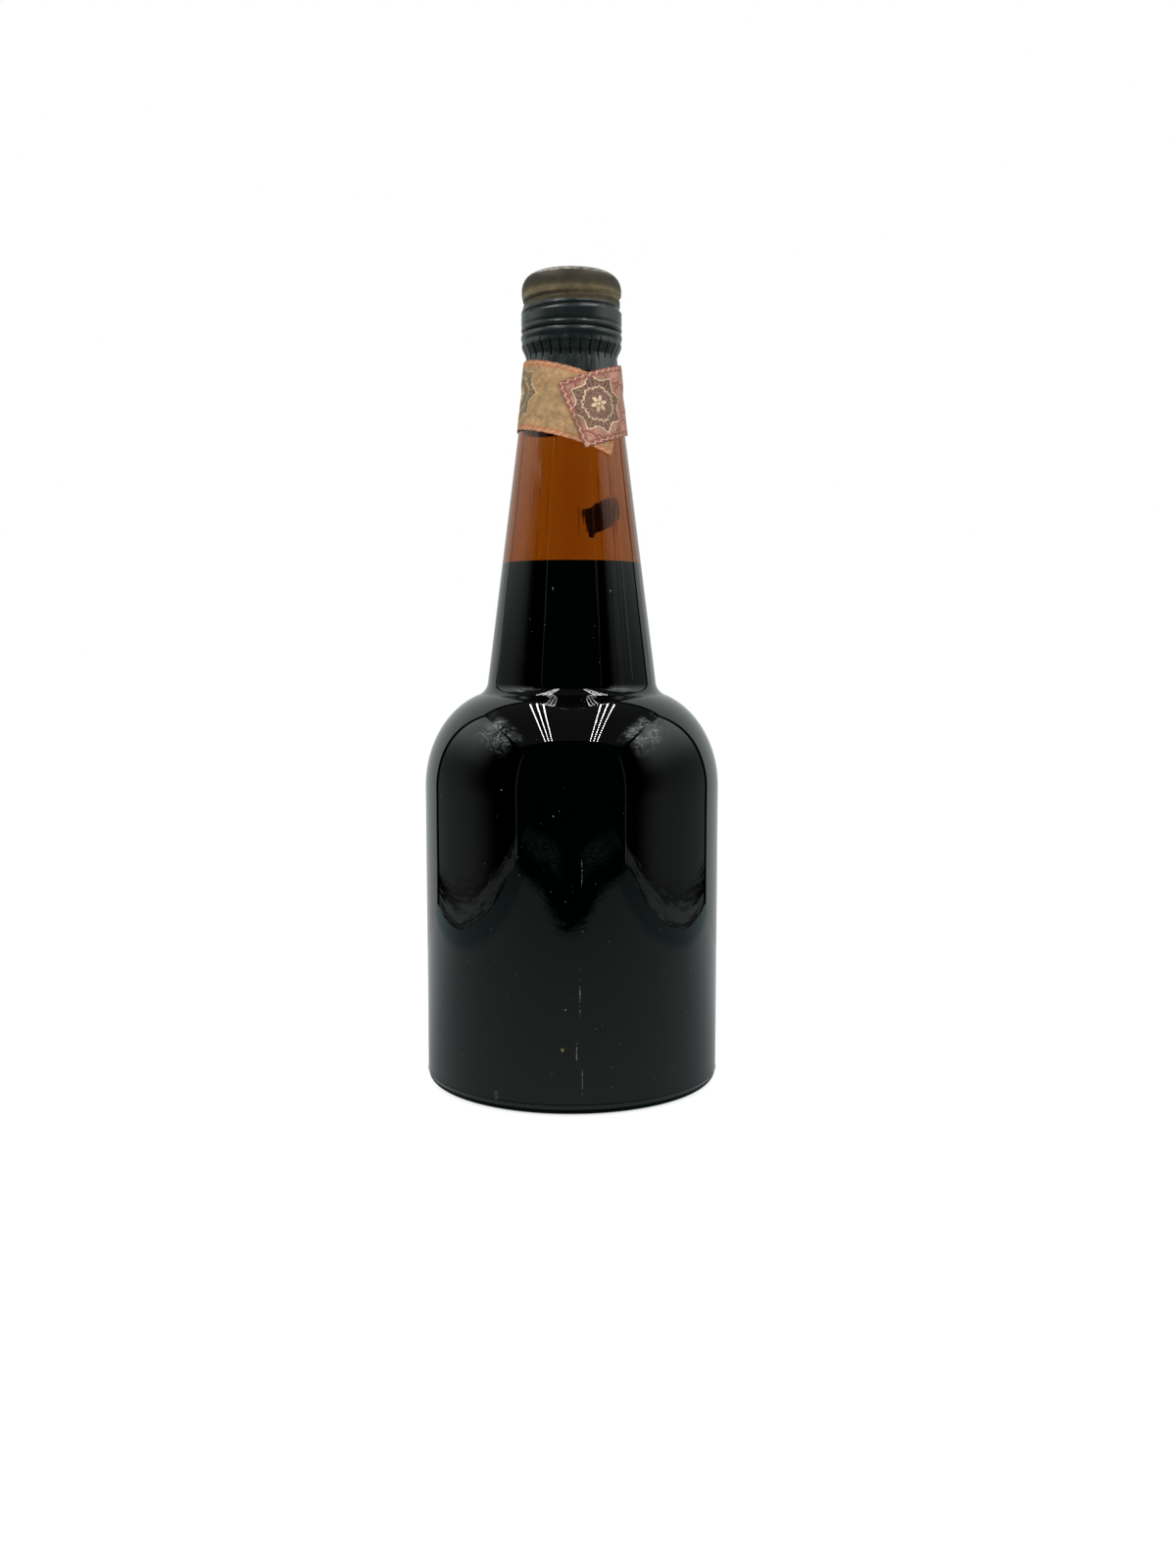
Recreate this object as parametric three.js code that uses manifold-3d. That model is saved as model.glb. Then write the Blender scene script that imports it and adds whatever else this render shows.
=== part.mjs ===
// Liqueur bottle: a blown amber glass bottle with a rolled-on aluminium screw cap.
// Millimetres, +Z up, origin at the centre of the base. The side with the crossed strip ends faces -Y.

import * as THREE from "three";
import { mergeVertices } from "three/addons/utils/BufferGeometryUtils.js";
import Module from "manifold-3d";

// Body of the bottle, outside
const bodyRadius = 47.5;
const wallTop = 95.75; // where the straight wall turns into the shoulder
const shoulderRun = 25.35; // horizontal half-axis of the shoulder dome
const shoulderRise = 31.09; // vertical half-axis of the shoulder dome
const neckFillet = 4.82;
const heelRun = 3.6;
const heelRise = 2.7;

// Neck and finish, outside; heights on them are measured down from the sealing lip
const glassHeight = 254.9;
const neckTaper = 7.32; // degrees from the axis
const neckTopRadius = 14.0;
const neckTopDepth = 22.9;
const rootRadius = 14.35; // glass between the threads
const beadStep = 0.8; // the bead that the tamper band is crimped under stands out this far
const beadTopDepth = 15.9;
const beadHeight = 5.4;
const beadRound = 1.2;
const lipStep = 0.45; // the lip is this much narrower than the glass between the threads
const lipHeight = 2.2;
const lipRound = 1.1;

// Glass thickness
const wall = 3.2;
const boreRadius = 9.4;
const boreLength = 17.4;
const baseThickness = 5.6;
const puntRise = 4.0;
const bearingWidth = 4.0;
const cavityHeel = 7.0; // radius of the corner between the cavity's wall and floor

// Screw thread, right-handed, shared by the glass and the cap
const pitch = 3.6;
const threadDepthDown = 5.8; // lip to the cap's groove, where its upper turn crosses -Y
const threadStart = -185; // degrees, anticlockwise from +X, of the groove's lower end
const threadEnd = 400;
const threadFade = 50;
const ridgeHeight = 0.5;
const ridgeFoot = 1.6;
const ridgeCrest = 0.8;
const ridgeStartLag = 40; // degrees by which the glass thread is shorter than the groove
const ridgeEndLead = 60;
const ridgeSunk = 0.4; // the thread's root inside the finish, so that the two fuse

// Liquid
const ullage = 87.8; // lip to liquid
const fillGap = 0.3; // between the liquid and the glass

// Cap
const sheet = 0.3; // rolled aluminium
const threadClearance = 0.3; // glass thread to the sheet over it
const capWaist = 0.3; // how far the threaded part of the wall is drawn in
const waistRun = 2.0; // height over which the wall narrows above the barrel, and widens below the corner
const barrelSwell = 0.15;
const barrelDepth = 11.9; // lip to the top of the barrel, where the wall starts to narrow
const capCornerRun = 4.6;
const capCornerRise = 5.2;
const capHem = 0.9; // height of the rounded-in lower edge
const capHemTurn = 0.45;
const grooveDepth = 0.55;
const grooveHalfWidth = 1.0;
const grooveRowStep = 0.6; // rows through the groove, in half-widths

// Liner
const wadThickness = 1.95;
const facingThickness = 0.2;
const faceGap = 0.05; // between flat faces that part or turn on each other
const linerClearance = 0.45;
const linerEdgeAngle = 62; // degrees up the round edge, where it meets the flat top

// Tamper band
const partingGap = 0.3;
const partingAboveBead = 0.4; // the cap's lower edge above the top of the bead
const beadClearance = 0.55;
const bandHem = 0.3; // height of the turned-in upper edge
const bandHemTurn = 0.45;
const upperRidgeDrop = 1.7; // band's upper edge to the foot of its upper ridge
const upperRidgeWidth = 0.7;
const valleyDepth = 0.28; // between the two ridges
const valleyRise = 1.2; // from the lower ridge
const lowerRidgeInset = 0.15;
const crimpDrop = 3.8; // bead top to the lower ridge, where the sheet starts to turn in
const crimpFootDrop = 0.7; // top of the neck to where the sheet has turned in
const crimpSteps = 3;
const skirtLength = 6.8; // along the neck
const skirtGap = 0.15;
const slitCount = 30;
const slitWidth = 0.35;
const slitLength = 4.5;
const slitDrop = 0.3; // lower ridge to the top of the slits
const slitPhase = 5; // degrees

// Paper strip, laid flat along the cone of the neck
const stripWidth = 21.5;
const stripDrop = 11.24; // neck top to the strip's middle line at the front, along the glass
const stripThickness = 0.15;
const stripGap = 0.25;
const pinkEnd = 179.3; // degrees from +Y towards +X
const pinkLevelSpan = 6.5;
const creamEnd = -235.5;
const creamLevelSpan = 46;
const lapFade = 100; // half the angle over which the strip climbs on to its own end

// Scrap of paper on the front of the neck
const scrapLength = 16.4;
const scrapWidth = 9.0;
const scrapDepth = 70.6; // lip to the middle of the scrap
const scrapAngle = 32; // degrees from +Y towards +X
const scrapTilt = 25;
const scrapThickness = 0.2;
const scrapRoundStart = 0.25; // of half the length, from the middle to where one end starts to round
const scrapRoundReach = 0.78;
const scrapTear = 0.1; // unevenness of the torn end, of the width

// Facets round each piece
const glassColumns = 38;
const liquidColumns = 30;
const capColumns = 42;
const bandColumns = 38;
const linerColumns = 32;

// Places that follow from the sizes above
const neckTop = glassHeight - neckTopDepth;
const beadTop = glassHeight - beadTopDepth;
const beadRadius = rootRadius + beadStep;
const lipRadius = rootRadius - lipStep;
const waistRadius = rootRadius + ridgeHeight + threadClearance + sheet;
const capRadius = waistRadius + capWaist;
const barrelRadius = capRadius + barrelSwell;
const capBottom = beadTop + partingAboveBead;
const linerBottom = glassHeight + faceGap;
const wadBottom = linerBottom + facingThickness + faceGap;
const capTop = wadBottom + wadThickness + faceGap + sheet;
const bandRadius = beadRadius + beadClearance + sheet;
const bandTop = capBottom - partingGap;
const crimpTop = beadTop - crimpDrop;
const crimpFoot = neckTop - crimpFootDrop;
const skirtFoot = neckTop - skirtLength;
const fillLevel = glassHeight - ullage;

const radians = THREE.MathUtils.degToRad;
const point = (r, z) => new THREE.Vector2(r, z);
const taper = Math.tan(radians(neckTaper));
const coneTip = neckTop + neckTopRadius / taper;

// Neck radius outside at a height
function neckRadius(z) {
  return (coneTip - z) * taper;
}

// Points along an ellipse, from one angle to another in degrees
function arc(centreR, centreZ, runR, riseZ, from, to, steps) {
  return Array.from({ length: steps + 1 }, (_, i) => {
    const a = radians(from + ((to - from) * i) / steps);
    return point(centreR + runR * Math.cos(a), centreZ + riseZ * Math.sin(a));
  });
}

// Shoulder dome, its fillet and the foot of the neck, set in from the outside by a distance
function shoulderProfile(inset, domeSteps, filletSteps) {
  const run = shoulderRun - inset;
  const rise = shoulderRise - inset;
  const radius = neckFillet + inset;
  const centreR = bodyRadius - shoulderRun;
  const neckAt = (z) => neckRadius(z) - inset / Math.cos(radians(neckTaper));
  const filletCentre = (a) => {
    const normal = point(Math.cos(a) / run, Math.sin(a) / rise).normalize();
    const r = centreR + run * Math.cos(a) + radius * normal.x;
    const z = wallTop + rise * Math.sin(a) + radius * normal.y;
    return { r, z, normal };
  };
  // The fillet's centre lies one radius from the dome and one from the neck
  let low = 0;
  let high = Math.PI / 2;
  for (let i = 0; i < 50; i += 1) {
    const middle = (low + high) / 2;
    const c = filletCentre(middle);
    const distance = (c.r - neckAt(c.z)) * Math.cos(radians(neckTaper));
    if (distance > radius) low = middle;
    else high = middle;
  }
  const centre = filletCentre(low);
  const domeEnd = THREE.MathUtils.radToDeg(low);
  const filletFrom = THREE.MathUtils.radToDeg(Math.atan2(-centre.normal.y, -centre.normal.x));
  const filletTo = -180 + neckTaper;
  return [
    ...arc(centreR, wallTop, run, rise, 0, domeEnd, domeSteps),
    ...arc(centre.r, centre.z, radius, radius, filletFrom, filletTo, filletSteps).slice(1),
  ];
}

// A lathe turned about Z, from a profile of (radius, height) points
function turn(profile, columns) {
  const geometry = new THREE.LatheGeometry(profile, columns);
  geometry.rotateX(Math.PI / 2);
  return geometry;
}

// A closed body through rings of points; each end is a band of faces across its ring
function loft(rings) {
  const size = rings[0].length;
  const positions = rings.flat().flatMap((p) => [p.x, p.y, p.z]);
  const faces = [];
  for (let i = 0; i + 1 < rings.length; i += 1) {
    for (let j = 0; j < size; j += 1) {
      const a = i * size + j;
      const b = i * size + ((j + 1) % size);
      faces.push(a, b, b + size, a, b + size, a + size);
    }
  }
  const last = (rings.length - 1) * size;
  for (let j = 0; j < size / 2 - 1; j += 1) {
    const [a, b, c, d] = [j, j + 1, size - 2 - j, size - 1 - j];
    faces.push(a, c, b, a, d, c);
    faces.push(last + a, last + b, last + c, last + a, last + c, last + d);
  }
  const geometry = new THREE.BufferGeometry();
  geometry.setAttribute("position", new THREE.Float32BufferAttribute(positions, 3));
  geometry.setIndex(faces);
  return geometry;
}

const wasm = await Module();
wasm.setup();

function toSolid(geometry) {
  const bare = geometry.clone();
  bare.deleteAttribute("normal");
  bare.deleteAttribute("uv");
  const merged = mergeVertices(bare, 1e-4);
  const mesh = new wasm.Mesh({
    numProp: 3,
    vertProperties: merged.attributes.position.array,
    triVerts: new Uint32Array(merged.index.array),
  });
  return new wasm.Manifold(mesh);
}

function toGeometry(solid) {
  const mesh = solid.getMesh();
  const geometry = new THREE.BufferGeometry();
  geometry.setAttribute("position", new THREE.Float32BufferAttribute(mesh.vertProperties, 3));
  geometry.setIndex(new THREE.BufferAttribute(mesh.triVerts, 1));
  geometry.computeVertexNormals();
  return geometry;
}

// Height of the cap's groove at an angle in degrees from +X; its upper turn crosses -Y at 270
function grooveHeight(degrees) {
  return glassHeight - threadDepthDown + (pitch * (degrees - 270)) / 360;
}

// 1 along the thread, running out to 0 at its two ends
function threadStrength(degrees) {
  const fromStart = (degrees - threadStart) / threadFade;
  const fromEnd = (threadEnd - degrees) / threadFade;
  return THREE.MathUtils.smoothstep(Math.min(fromStart, fromEnd), 0, 1);
}

// How far the thread roller has pressed the sheet in at a place
function rolledDepth(x, y, z) {
  const around = THREE.MathUtils.radToDeg(Math.atan2(y, x));
  let depth = 0;
  for (let degrees = around - 360; degrees <= threadEnd; degrees += 360) {
    const off = (z - grooveHeight(degrees)) / grooveHalfWidth;
    const press = Math.abs(off) < 1 ? 0.5 + 0.5 * Math.cos(Math.PI * off) : 0;
    depth = Math.max(depth, grooveDepth * press * threadStrength(degrees));
  }
  return depth;
}

// Glass bottle
function bottleGlass() {
  const bearingOuter = bodyRadius - heelRun;
  const bearingInner = bearingOuter - bearingWidth;
  const cavityRadius = bodyRadius - wall;
  const floor = puntRise + baseThickness;
  const beadFoot = beadTop - beadHeight;
  const outside = [
    ...arc(0, 0, bearingInner, puntRise, 90, 0, 4),
    ...arc(bearingOuter, heelRise, heelRun, heelRise, -90, 0, 3),
    ...shoulderProfile(0, 8, 4),
    point(neckTopRadius, neckTop),
    ...arc(neckTopRadius, beadFoot + beadRound, beadRadius - neckTopRadius, beadRound, -90, 0, 3),
    ...arc(rootRadius, beadTop - beadRound, beadStep, beadRound, 0, 90, 3),
    point(rootRadius, glassHeight - lipHeight),
    point(lipRadius, glassHeight - lipHeight + lipStep),
    ...arc(lipRadius - lipRound, glassHeight - lipRound, lipRound, lipRound, 0, 90, 3),
  ];
  const inside = [
    ...arc(boreRadius + lipRound, glassHeight - lipRound, -lipRound, lipRound, 90, 0, 3),
    point(boreRadius, glassHeight - boreLength),
    point(neckRadius(neckTop) - wall, neckTop),
    ...shoulderProfile(wall, 6, 3).reverse(),
    ...cavityFloor(cavityRadius, floor, 0),
  ];
  const blown = toSolid(turn([...outside, ...inside], glassColumns));
  return toGeometry(blown.add(toSolid(threadRidgeBody())));
}

// Lower corner and floor of the cavity, from the wall to the axis, set in by a gap
function cavityFloor(radius, floor, gap) {
  const corner = cavityHeel - gap;
  const cornerCentre = radius - corner;
  const lowest = floor - puntRise + gap;
  return [
    ...arc(cornerCentre, lowest + corner, corner, corner, 0, -90, 3),
    ...arc(0, lowest, cornerCentre, puntRise, 0, 90, 3).slice(1),
  ];
}

// Glass thread, half a pitch away from the cap's groove, sunk a little into the finish
function threadRidgeBody() {
  const flank = (ridgeFoot - ridgeCrest) / 2 / ridgeHeight;
  // Its rings stand midway between the columns of the glass
  const step = 360 / glassColumns;
  const start = (Math.round((threadStart + ridgeStartLag) / step) + 0.5) * step;
  const count = Math.floor((threadEnd - ridgeEndLead - start) / step);
  const end = start + count * step;
  const rings = Array.from({ length: count + 1 }, (_, i) => {
    const degrees = start + i * step;
    const fade = Math.min((degrees - start) / threadFade, (end - degrees) / threadFade, 1);
    const height = THREE.MathUtils.lerp(-ridgeSunk / 2, ridgeHeight, fade);
    const foot = ridgeFoot / 2 + flank * ridgeSunk;
    const middle = grooveHeight(degrees) - pitch / 2;
    const at = (r, z) => {
      const a = radians(degrees);
      return new THREE.Vector3(r * Math.cos(a), r * Math.sin(a), middle + z);
    };
    return [
      at(rootRadius - ridgeSunk, foot),
      at(rootRadius + height, ridgeCrest / 2),
      at(rootRadius + height, -ridgeCrest / 2),
      at(rootRadius - ridgeSunk, -foot),
    ];
  });
  return loft(rings);
}

// Liquid, level in the neck
function liqueurBody() {
  const inset = wall + fillGap;
  const cavityRadius = bodyRadius - inset;
  const neckInset = inset / Math.cos(radians(neckTaper));
  const profile = [
    ...cavityFloor(cavityRadius, puntRise + baseThickness, fillGap).reverse(),
    ...shoulderProfile(inset, 6, 3),
    point(neckRadius(fillLevel) - neckInset, fillLevel),
    point(0, fillLevel),
  ];
  return turn(profile, liquidColumns);
}

// Heights of the rows through the rolled thread, where the sheet bends
function threadRows() {
  const low = grooveHeight(threadStart);
  const high = grooveHeight(threadEnd);
  const count = Math.ceil((high - low) / (grooveHalfWidth * grooveRowStep));
  return Array.from({ length: count + 1 }, (_, i) => low + ((high - low) * i) / count);
}

// Aluminium cap, with the thread rolled into its wall
function capShell() {
  const rows = threadRows();
  const barrelTop = glassHeight - barrelDepth;
  const cornerFoot = capTop - capCornerRise;
  const wallRadius = (z) => {
    const narrowed = THREE.MathUtils.smoothstep(z, barrelTop, barrelTop + waistRun);
    const widened = THREE.MathUtils.smoothstep(z, cornerFoot - waistRun, cornerFoot);
    return THREE.MathUtils.lerp(barrelRadius, waistRadius, narrowed) + capWaist * widened;
  };
  const wallProfile = (inset) => [
    ...arc(barrelRadius - capHemTurn - inset, capBottom + capHem, capHemTurn, capHem, -90, 0, 2),
    point(barrelRadius - inset, barrelTop),
    ...rows.map((z) => point(wallRadius(z) - inset, z)),
  ];
  const corner = (inset, steps) =>
    arc(
      capRadius - capCornerRun,
      capTop - capCornerRise,
      capCornerRun - inset,
      capCornerRise - inset,
      0,
      90,
      steps,
    );
  const outside = [...wallProfile(0), ...corner(0, 5), point(0, capTop)];
  const inside = [point(0, capTop - sheet), ...corner(sheet, 3).reverse(), ...wallProfile(sheet).reverse()];
  const geometry = turn([...inside, ...outside], capColumns);
  const position = geometry.attributes.position;
  for (let i = 0; i < position.count; i += 1) {
    const x = position.getX(i);
    const y = position.getY(i);
    const r = Math.hypot(x, y);
    if (r < capRadius / 2) continue;
    const pressed = (r - rolledDepth(x, y, position.getZ(i))) / r;
    position.setXY(i, x * pressed, y * pressed);
  }
  return geometry;
}

// Liner disc: its edge follows the round corner inside the cap, and its faces are flat
function linerDisc(bottom, thickness) {
  const run = capCornerRun - sheet - linerClearance;
  const rise = capCornerRise - sheet - linerClearance;
  const centreR = capRadius - capCornerRun;
  const centreZ = capTop - capCornerRise;
  const angleAt = (z) => THREE.MathUtils.radToDeg(Math.asin(Math.min((z - centreZ) / rise, 1)));
  const top = bottom + thickness;
  const edgeTop = Math.min(angleAt(top), linerEdgeAngle);
  const profile = [point(0, bottom), ...arc(centreR, centreZ, run, rise, angleAt(bottom), edgeTop, 3)];
  if (edgeTop < angleAt(top)) profile.push(point(centreR - linerClearance, top));
  profile.push(point(0, top));
  return turn(profile, linerColumns);
}

// Tamper band, crimped under the bead, with its slits and its skirt along the neck
function tamperBand() {
  const skirtRadius = (z) => neckRadius(z) + skirtGap + sheet;
  const crimp = (i) => {
    const part = i / crimpSteps;
    const turnedOut = THREE.MathUtils.smoothstep(part, 0, 1);
    const r = THREE.MathUtils.lerp(skirtRadius(crimpFoot), bandRadius - lowerRidgeInset, turnedOut);
    return [r, THREE.MathUtils.lerp(crimpFoot, crimpTop, part)];
  };
  const upperRidge = bandTop - upperRidgeDrop;
  const stations = [
    [skirtRadius(skirtFoot), skirtFoot],
    ...Array.from({ length: crimpSteps + 1 }, (_, i) => crimp(i)),
    [bandRadius - valleyDepth, crimpTop + valleyRise],
    [bandRadius, upperRidge],
    [bandRadius, upperRidge + upperRidgeWidth],
    [bandRadius - bandHemTurn / 2, bandTop - bandHem],
    [bandRadius - bandHemTurn, bandTop],
  ];
  const wallProfile = (inset) => stations.map(([r, z]) => point(r - inset, z));
  const profile = [...wallProfile(0), ...wallProfile(sheet).reverse()];
  profile.push(profile[0].clone());
  const slitMiddle = crimpTop - slitDrop - slitLength / 2;
  let band = toSolid(turn(profile, bandColumns));
  for (let i = 0; i < slitCount; i += 1) {
    const slit = new THREE.BoxGeometry(bandRadius - neckTopRadius + beadRound, slitWidth, slitLength);
    slit.translate((bandRadius + neckTopRadius) / 2, 0, slitMiddle);
    slit.rotateZ(radians(slitPhase + (360 * i) / slitCount));
    band = band.subtract(toSolid(slit));
  }
  return toGeometry(band);
}

// A place on the neck's cone opened flat: across and down from the tip, and how far it stands off
function onCone(across, down, standOff) {
  const spread = Math.sin(radians(neckTaper));
  const along = Math.hypot(across, down);
  const around = Math.atan2(across, down) / spread;
  const r = along * spread + standOff;
  const z = coneTip - along * Math.cos(radians(neckTaper));
  return new THREE.Vector3(r * Math.sin(around), r * Math.cos(around), z);
}

// Paper lying on the cone: a middle line with half-widths, as thin as the paper
function paper(stations, widthSteps, thickness, standOffAt) {
  const rings = stations.map(({ across, down, facing, low, high }) => {
    const side = Array.from({ length: widthSteps + 1 }, (_, i) => {
      const w = THREE.MathUtils.lerp(low, high, i / widthSteps);
      return [across + w * facing.x, down + w * facing.y];
    });
    const lift = (p, extra) => {
      const z = onCone(p[0], p[1], 0).z;
      return onCone(p[0], p[1], standOffAt(z, across / down) + extra);
    };
    return [...side.map((p) => lift(p, 0)), ...side.reverse().map((p) => lift(p, thickness))];
  });
  return loft(rings);
}

// How far the strip stands off the glass: over the skirt's edge, and over its own other end
function stripStandOff(z, around) {
  const overSkirt = 1 - THREE.MathUtils.smoothstep(skirtFoot - z, 1.5, 5.5);
  const overSelf = THREE.MathUtils.smoothstep(around, -lapFade, lapFade);
  const skirt = skirtGap + sheet;
  return stripGap + overSkirt * skirt + overSelf * (stripThickness + stripGap);
}

// Tax strip: level across the front, then running down on both sides to cross at the back
function taxStrip() {
  const spread = Math.sin(radians(neckTaper));
  const stripDistance = neckTopRadius / spread + stripDrop;
  const steps = 49;
  const middleAt = (degrees) => {
    const level = degrees > 0 ? pinkLevelSpan : creamLevelSpan;
    const bent = radians(Math.max(Math.abs(degrees) - level, 0)) * spread;
    const distance = stripDistance / Math.cos(bent);
    const flat = radians(degrees) * spread;
    return point(distance * Math.sin(flat), distance * Math.cos(flat));
  };
  const stations = Array.from({ length: steps + 1 }, (_, i) => {
    const degrees = THREE.MathUtils.lerp(creamEnd, pinkEnd, i / steps);
    const middle = middleAt(degrees);
    const along = middleAt(degrees + 0.5).sub(middleAt(degrees - 0.5)).normalize();
    const facing = point(-along.y, along.x);
    return { across: middle.x, down: middle.y, facing, low: -stripWidth / 2, high: stripWidth / 2 };
  });
  const standOff = (z, slope) => {
    const around = THREE.MathUtils.radToDeg(Math.atan(slope) / spread);
    return stripStandOff(z, around);
  };
  return paper(stations, 5, stripThickness, standOff);
}

// Scrap: one end rounded, the other torn
function neckScrap() {
  const spread = Math.sin(radians(neckTaper));
  const distance = (coneTip - glassHeight + scrapDepth) / Math.cos(radians(neckTaper));
  const flat = radians(scrapAngle) * spread;
  const centre = point(distance * Math.sin(flat), distance * Math.cos(flat));
  // Seen from the back the long axis climbs to the right, towards +X
  const along = point(Math.cos(radians(scrapTilt)), -Math.sin(radians(scrapTilt)));
  const facing = point(-along.y, along.x);
  const steps = 12;
  const stations = Array.from({ length: steps + 1 }, (_, i) => {
    const t = (2 * i) / steps - 1;
    const round = Math.sqrt(1 - Math.max((t - scrapRoundStart) / scrapRoundReach, 0) ** 2);
    const torn = 1 - scrapTear * Math.sin(3 * Math.PI * t) * Math.max(-t, 0);
    const half = (scrapWidth / 2) * round * torn;
    const across = centre.x + along.x * t * (scrapLength / 2);
    const down = centre.y + along.y * t * (scrapLength / 2);
    return { across, down, facing, low: -half, high: half };
  });
  return paper(stations, 3, scrapThickness, () => stripGap);
}

function named(name, geometry, material) {
  const mesh = new THREE.Mesh(geometry, new THREE.MeshStandardMaterial(material));
  mesh.name = name;
  return mesh;
}

const bottle = new THREE.Group();
bottle.add(
  named("bottle_glass", bottleGlass(), {
    color: "#6f3100",
    roughness: 0.05,
    metalness: 0,
    transparent: true,
    opacity: 0.6,
  }),
  named("liqueur", liqueurBody(), { color: "#0d0403", roughness: 0.1, metalness: 0 }),
  named("tamper_band", tamperBand(), { color: "#1a2322", roughness: 0.4, metalness: 0.6 }),
  named("tax_strip", taxStrip(), { color: "#ab8860", roughness: 0.85, metalness: 0 }),
  named("neck_scrap", neckScrap(), { color: "#27160c", roughness: 0.9, metalness: 0 }),
);

const closure = new THREE.Group();
closure.add(
  named("cap_shell", capShell(), { color: "#3f392e", roughness: 0.45, metalness: 0.7 }),
  named("liner_wad", linerDisc(wadBottom, wadThickness), {
    color: "#a07a4c",
    roughness: 0.95,
    metalness: 0,
  }),
  named("liner_facing", linerDisc(linerBottom, facingThickness), {
    color: "#b9bbb8",
    roughness: 0.35,
    metalness: 1,
  }),
);

const model = new THREE.Group();
model.add(bottle, closure);

export default model;
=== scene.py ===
import math
import bpy
import numpy as np
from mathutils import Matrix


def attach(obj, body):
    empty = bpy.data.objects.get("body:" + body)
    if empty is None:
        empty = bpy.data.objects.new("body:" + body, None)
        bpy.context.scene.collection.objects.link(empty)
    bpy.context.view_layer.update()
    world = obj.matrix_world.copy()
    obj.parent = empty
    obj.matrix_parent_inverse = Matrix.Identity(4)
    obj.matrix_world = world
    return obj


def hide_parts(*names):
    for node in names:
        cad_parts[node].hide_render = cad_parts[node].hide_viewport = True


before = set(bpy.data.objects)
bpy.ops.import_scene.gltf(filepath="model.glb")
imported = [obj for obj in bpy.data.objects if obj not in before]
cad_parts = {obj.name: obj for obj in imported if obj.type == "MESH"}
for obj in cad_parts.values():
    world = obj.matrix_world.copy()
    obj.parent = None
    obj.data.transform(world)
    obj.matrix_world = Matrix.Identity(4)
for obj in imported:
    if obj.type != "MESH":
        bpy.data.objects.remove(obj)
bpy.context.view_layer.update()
mm = 0.001


def linear(hexColour):
    channels = []
    for i in (1, 3, 5):
        value = int(hexColour[i:i + 2], 16) / 255
        channels.append(value / 12.92 if value <= 0.04045 else ((value + 0.055) / 1.055) ** 2.4)
    return (*channels, 1.0)


def grey(level):
    return (level, level, level, 1.0)


# Adds a node; links gives its inputs, by number or name, as values, sockets or nodes
def addNode(tree, kind, links=(), **settings):
    node = tree.nodes.new(kind)
    for name, value in settings.items():
        setattr(node, name, value)
    pairs = links.items() if isinstance(links, dict) else enumerate(links)
    for slot, value in pairs:
        if isinstance(value, bpy.types.Node):
            value = value.outputs[0]
        if isinstance(value, bpy.types.NodeSocket):
            tree.links.new(value, node.inputs[slot])
        elif value is not None:
            node.inputs[slot].default_value = value
    return node


def emptyMaterial(name):
    material = bpy.data.materials.new(name)
    material.use_nodes = True
    material.node_tree.nodes.clear()
    return material, material.node_tree


# Starts a Geometry Nodes tree with a geometry input, then one input for each named number
def startTree(name, geometryInput, numbers):
    tree = bpy.data.node_groups.new(name, "GeometryNodeTree")
    sockets = tree.interface
    sockets.new_socket(geometryInput, in_out="INPUT", socket_type="NodeSocketGeometry")
    for label, value in numbers.items():
        kind = "NodeSocketInt" if isinstance(value, int) else "NodeSocketFloat"
        sockets.new_socket(label, in_out="INPUT", socket_type=kind).default_value = value
    sockets.new_socket("Material", in_out="INPUT", socket_type="NodeSocketMaterial")
    sockets.new_socket("Geometry", in_out="OUTPUT", socket_type="NodeSocketGeometry")
    return tree, addNode(tree, "NodeGroupInput").outputs


# Every tree ends this way, because the export drops instances
def finishTree(tree, geometry, material):
    real = addNode(tree, "GeometryNodeRealizeInstances", [geometry])
    finished = addNode(tree, "GeometryNodeSetMaterial", {"Geometry": real, "Material": material})
    addNode(tree, "NodeGroupOutput", [finished])
    return tree


def fillRamp(ramp, stops, tint):
    elements = ramp.color_ramp.elements
    while len(elements) < len(stops):
        elements.new(0.5)
    for element, (position, value) in zip(elements, stops):
        element.position = position
        element.color = (*(value * part for part in tint), 1)


# Scale of a noise or grain from its size in mm, for a pattern on coordinates in metres
def perMetre(size):
    return 1 / (size * mm)


def smoothstep(value, low, high):
    t = np.clip((value - low) / (high - low), 0, 1)
    return t * t * (3 - 2 * t)


# Everything that the pieces share: sizes in mm, angles in degrees
bottleSizes = {
    "bodyRadius": 47.5,
    "wallTop": 95.75,
    "shoulderRun": 25.35,
    "shoulderRise": 31.09,
    "neckFillet": 4.82,
    "heelRun": 3.6,
    "heelRise": 2.7,
    "glassHeight": 254.9,
    "neckTaper": 7.32,
    "neckTopRadius": 14.0,
    "neckTop": 232.0,
    "rootRadius": 14.35,
    "wall": 3.2,
    "fillLevel": 167.1,
    "pitch": 3.6,
    "threadDepthDown": 5.8,
    "threadStart": -185.0,
    "threadEnd": 400.0,
    "threadFade": 50.0,
}
taper = math.radians(bottleSizes["neckTaper"])
coneTip = bottleSizes["neckTop"] + bottleSizes["neckTopRadius"] / math.tan(taper)
# Height of the cap's groove at +X, from which the thread rises by its pitch each turn
grooveAtX = bottleSizes["glassHeight"] - bottleSizes["threadDepthDown"] - bottleSizes["pitch"] * 0.75


def neckRadius(z):
    return (coneTip - z) * math.tan(taper)


def ellipseArc(centreR, centreZ, run, rise, start, stop, steps):
    angles = np.radians(np.linspace(start, stop, steps + 1))
    return [(centreR + run * math.cos(a), centreZ + rise * math.sin(a)) for a in angles]


def straightRun(first, last, step):
    count = max(1, round(math.dist(first, last) / step))
    return [(first[0] + (last[0] - first[0]) * i / count, first[1] + (last[1] - first[1]) * i / count)
            for i in range(1, count)]


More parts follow.
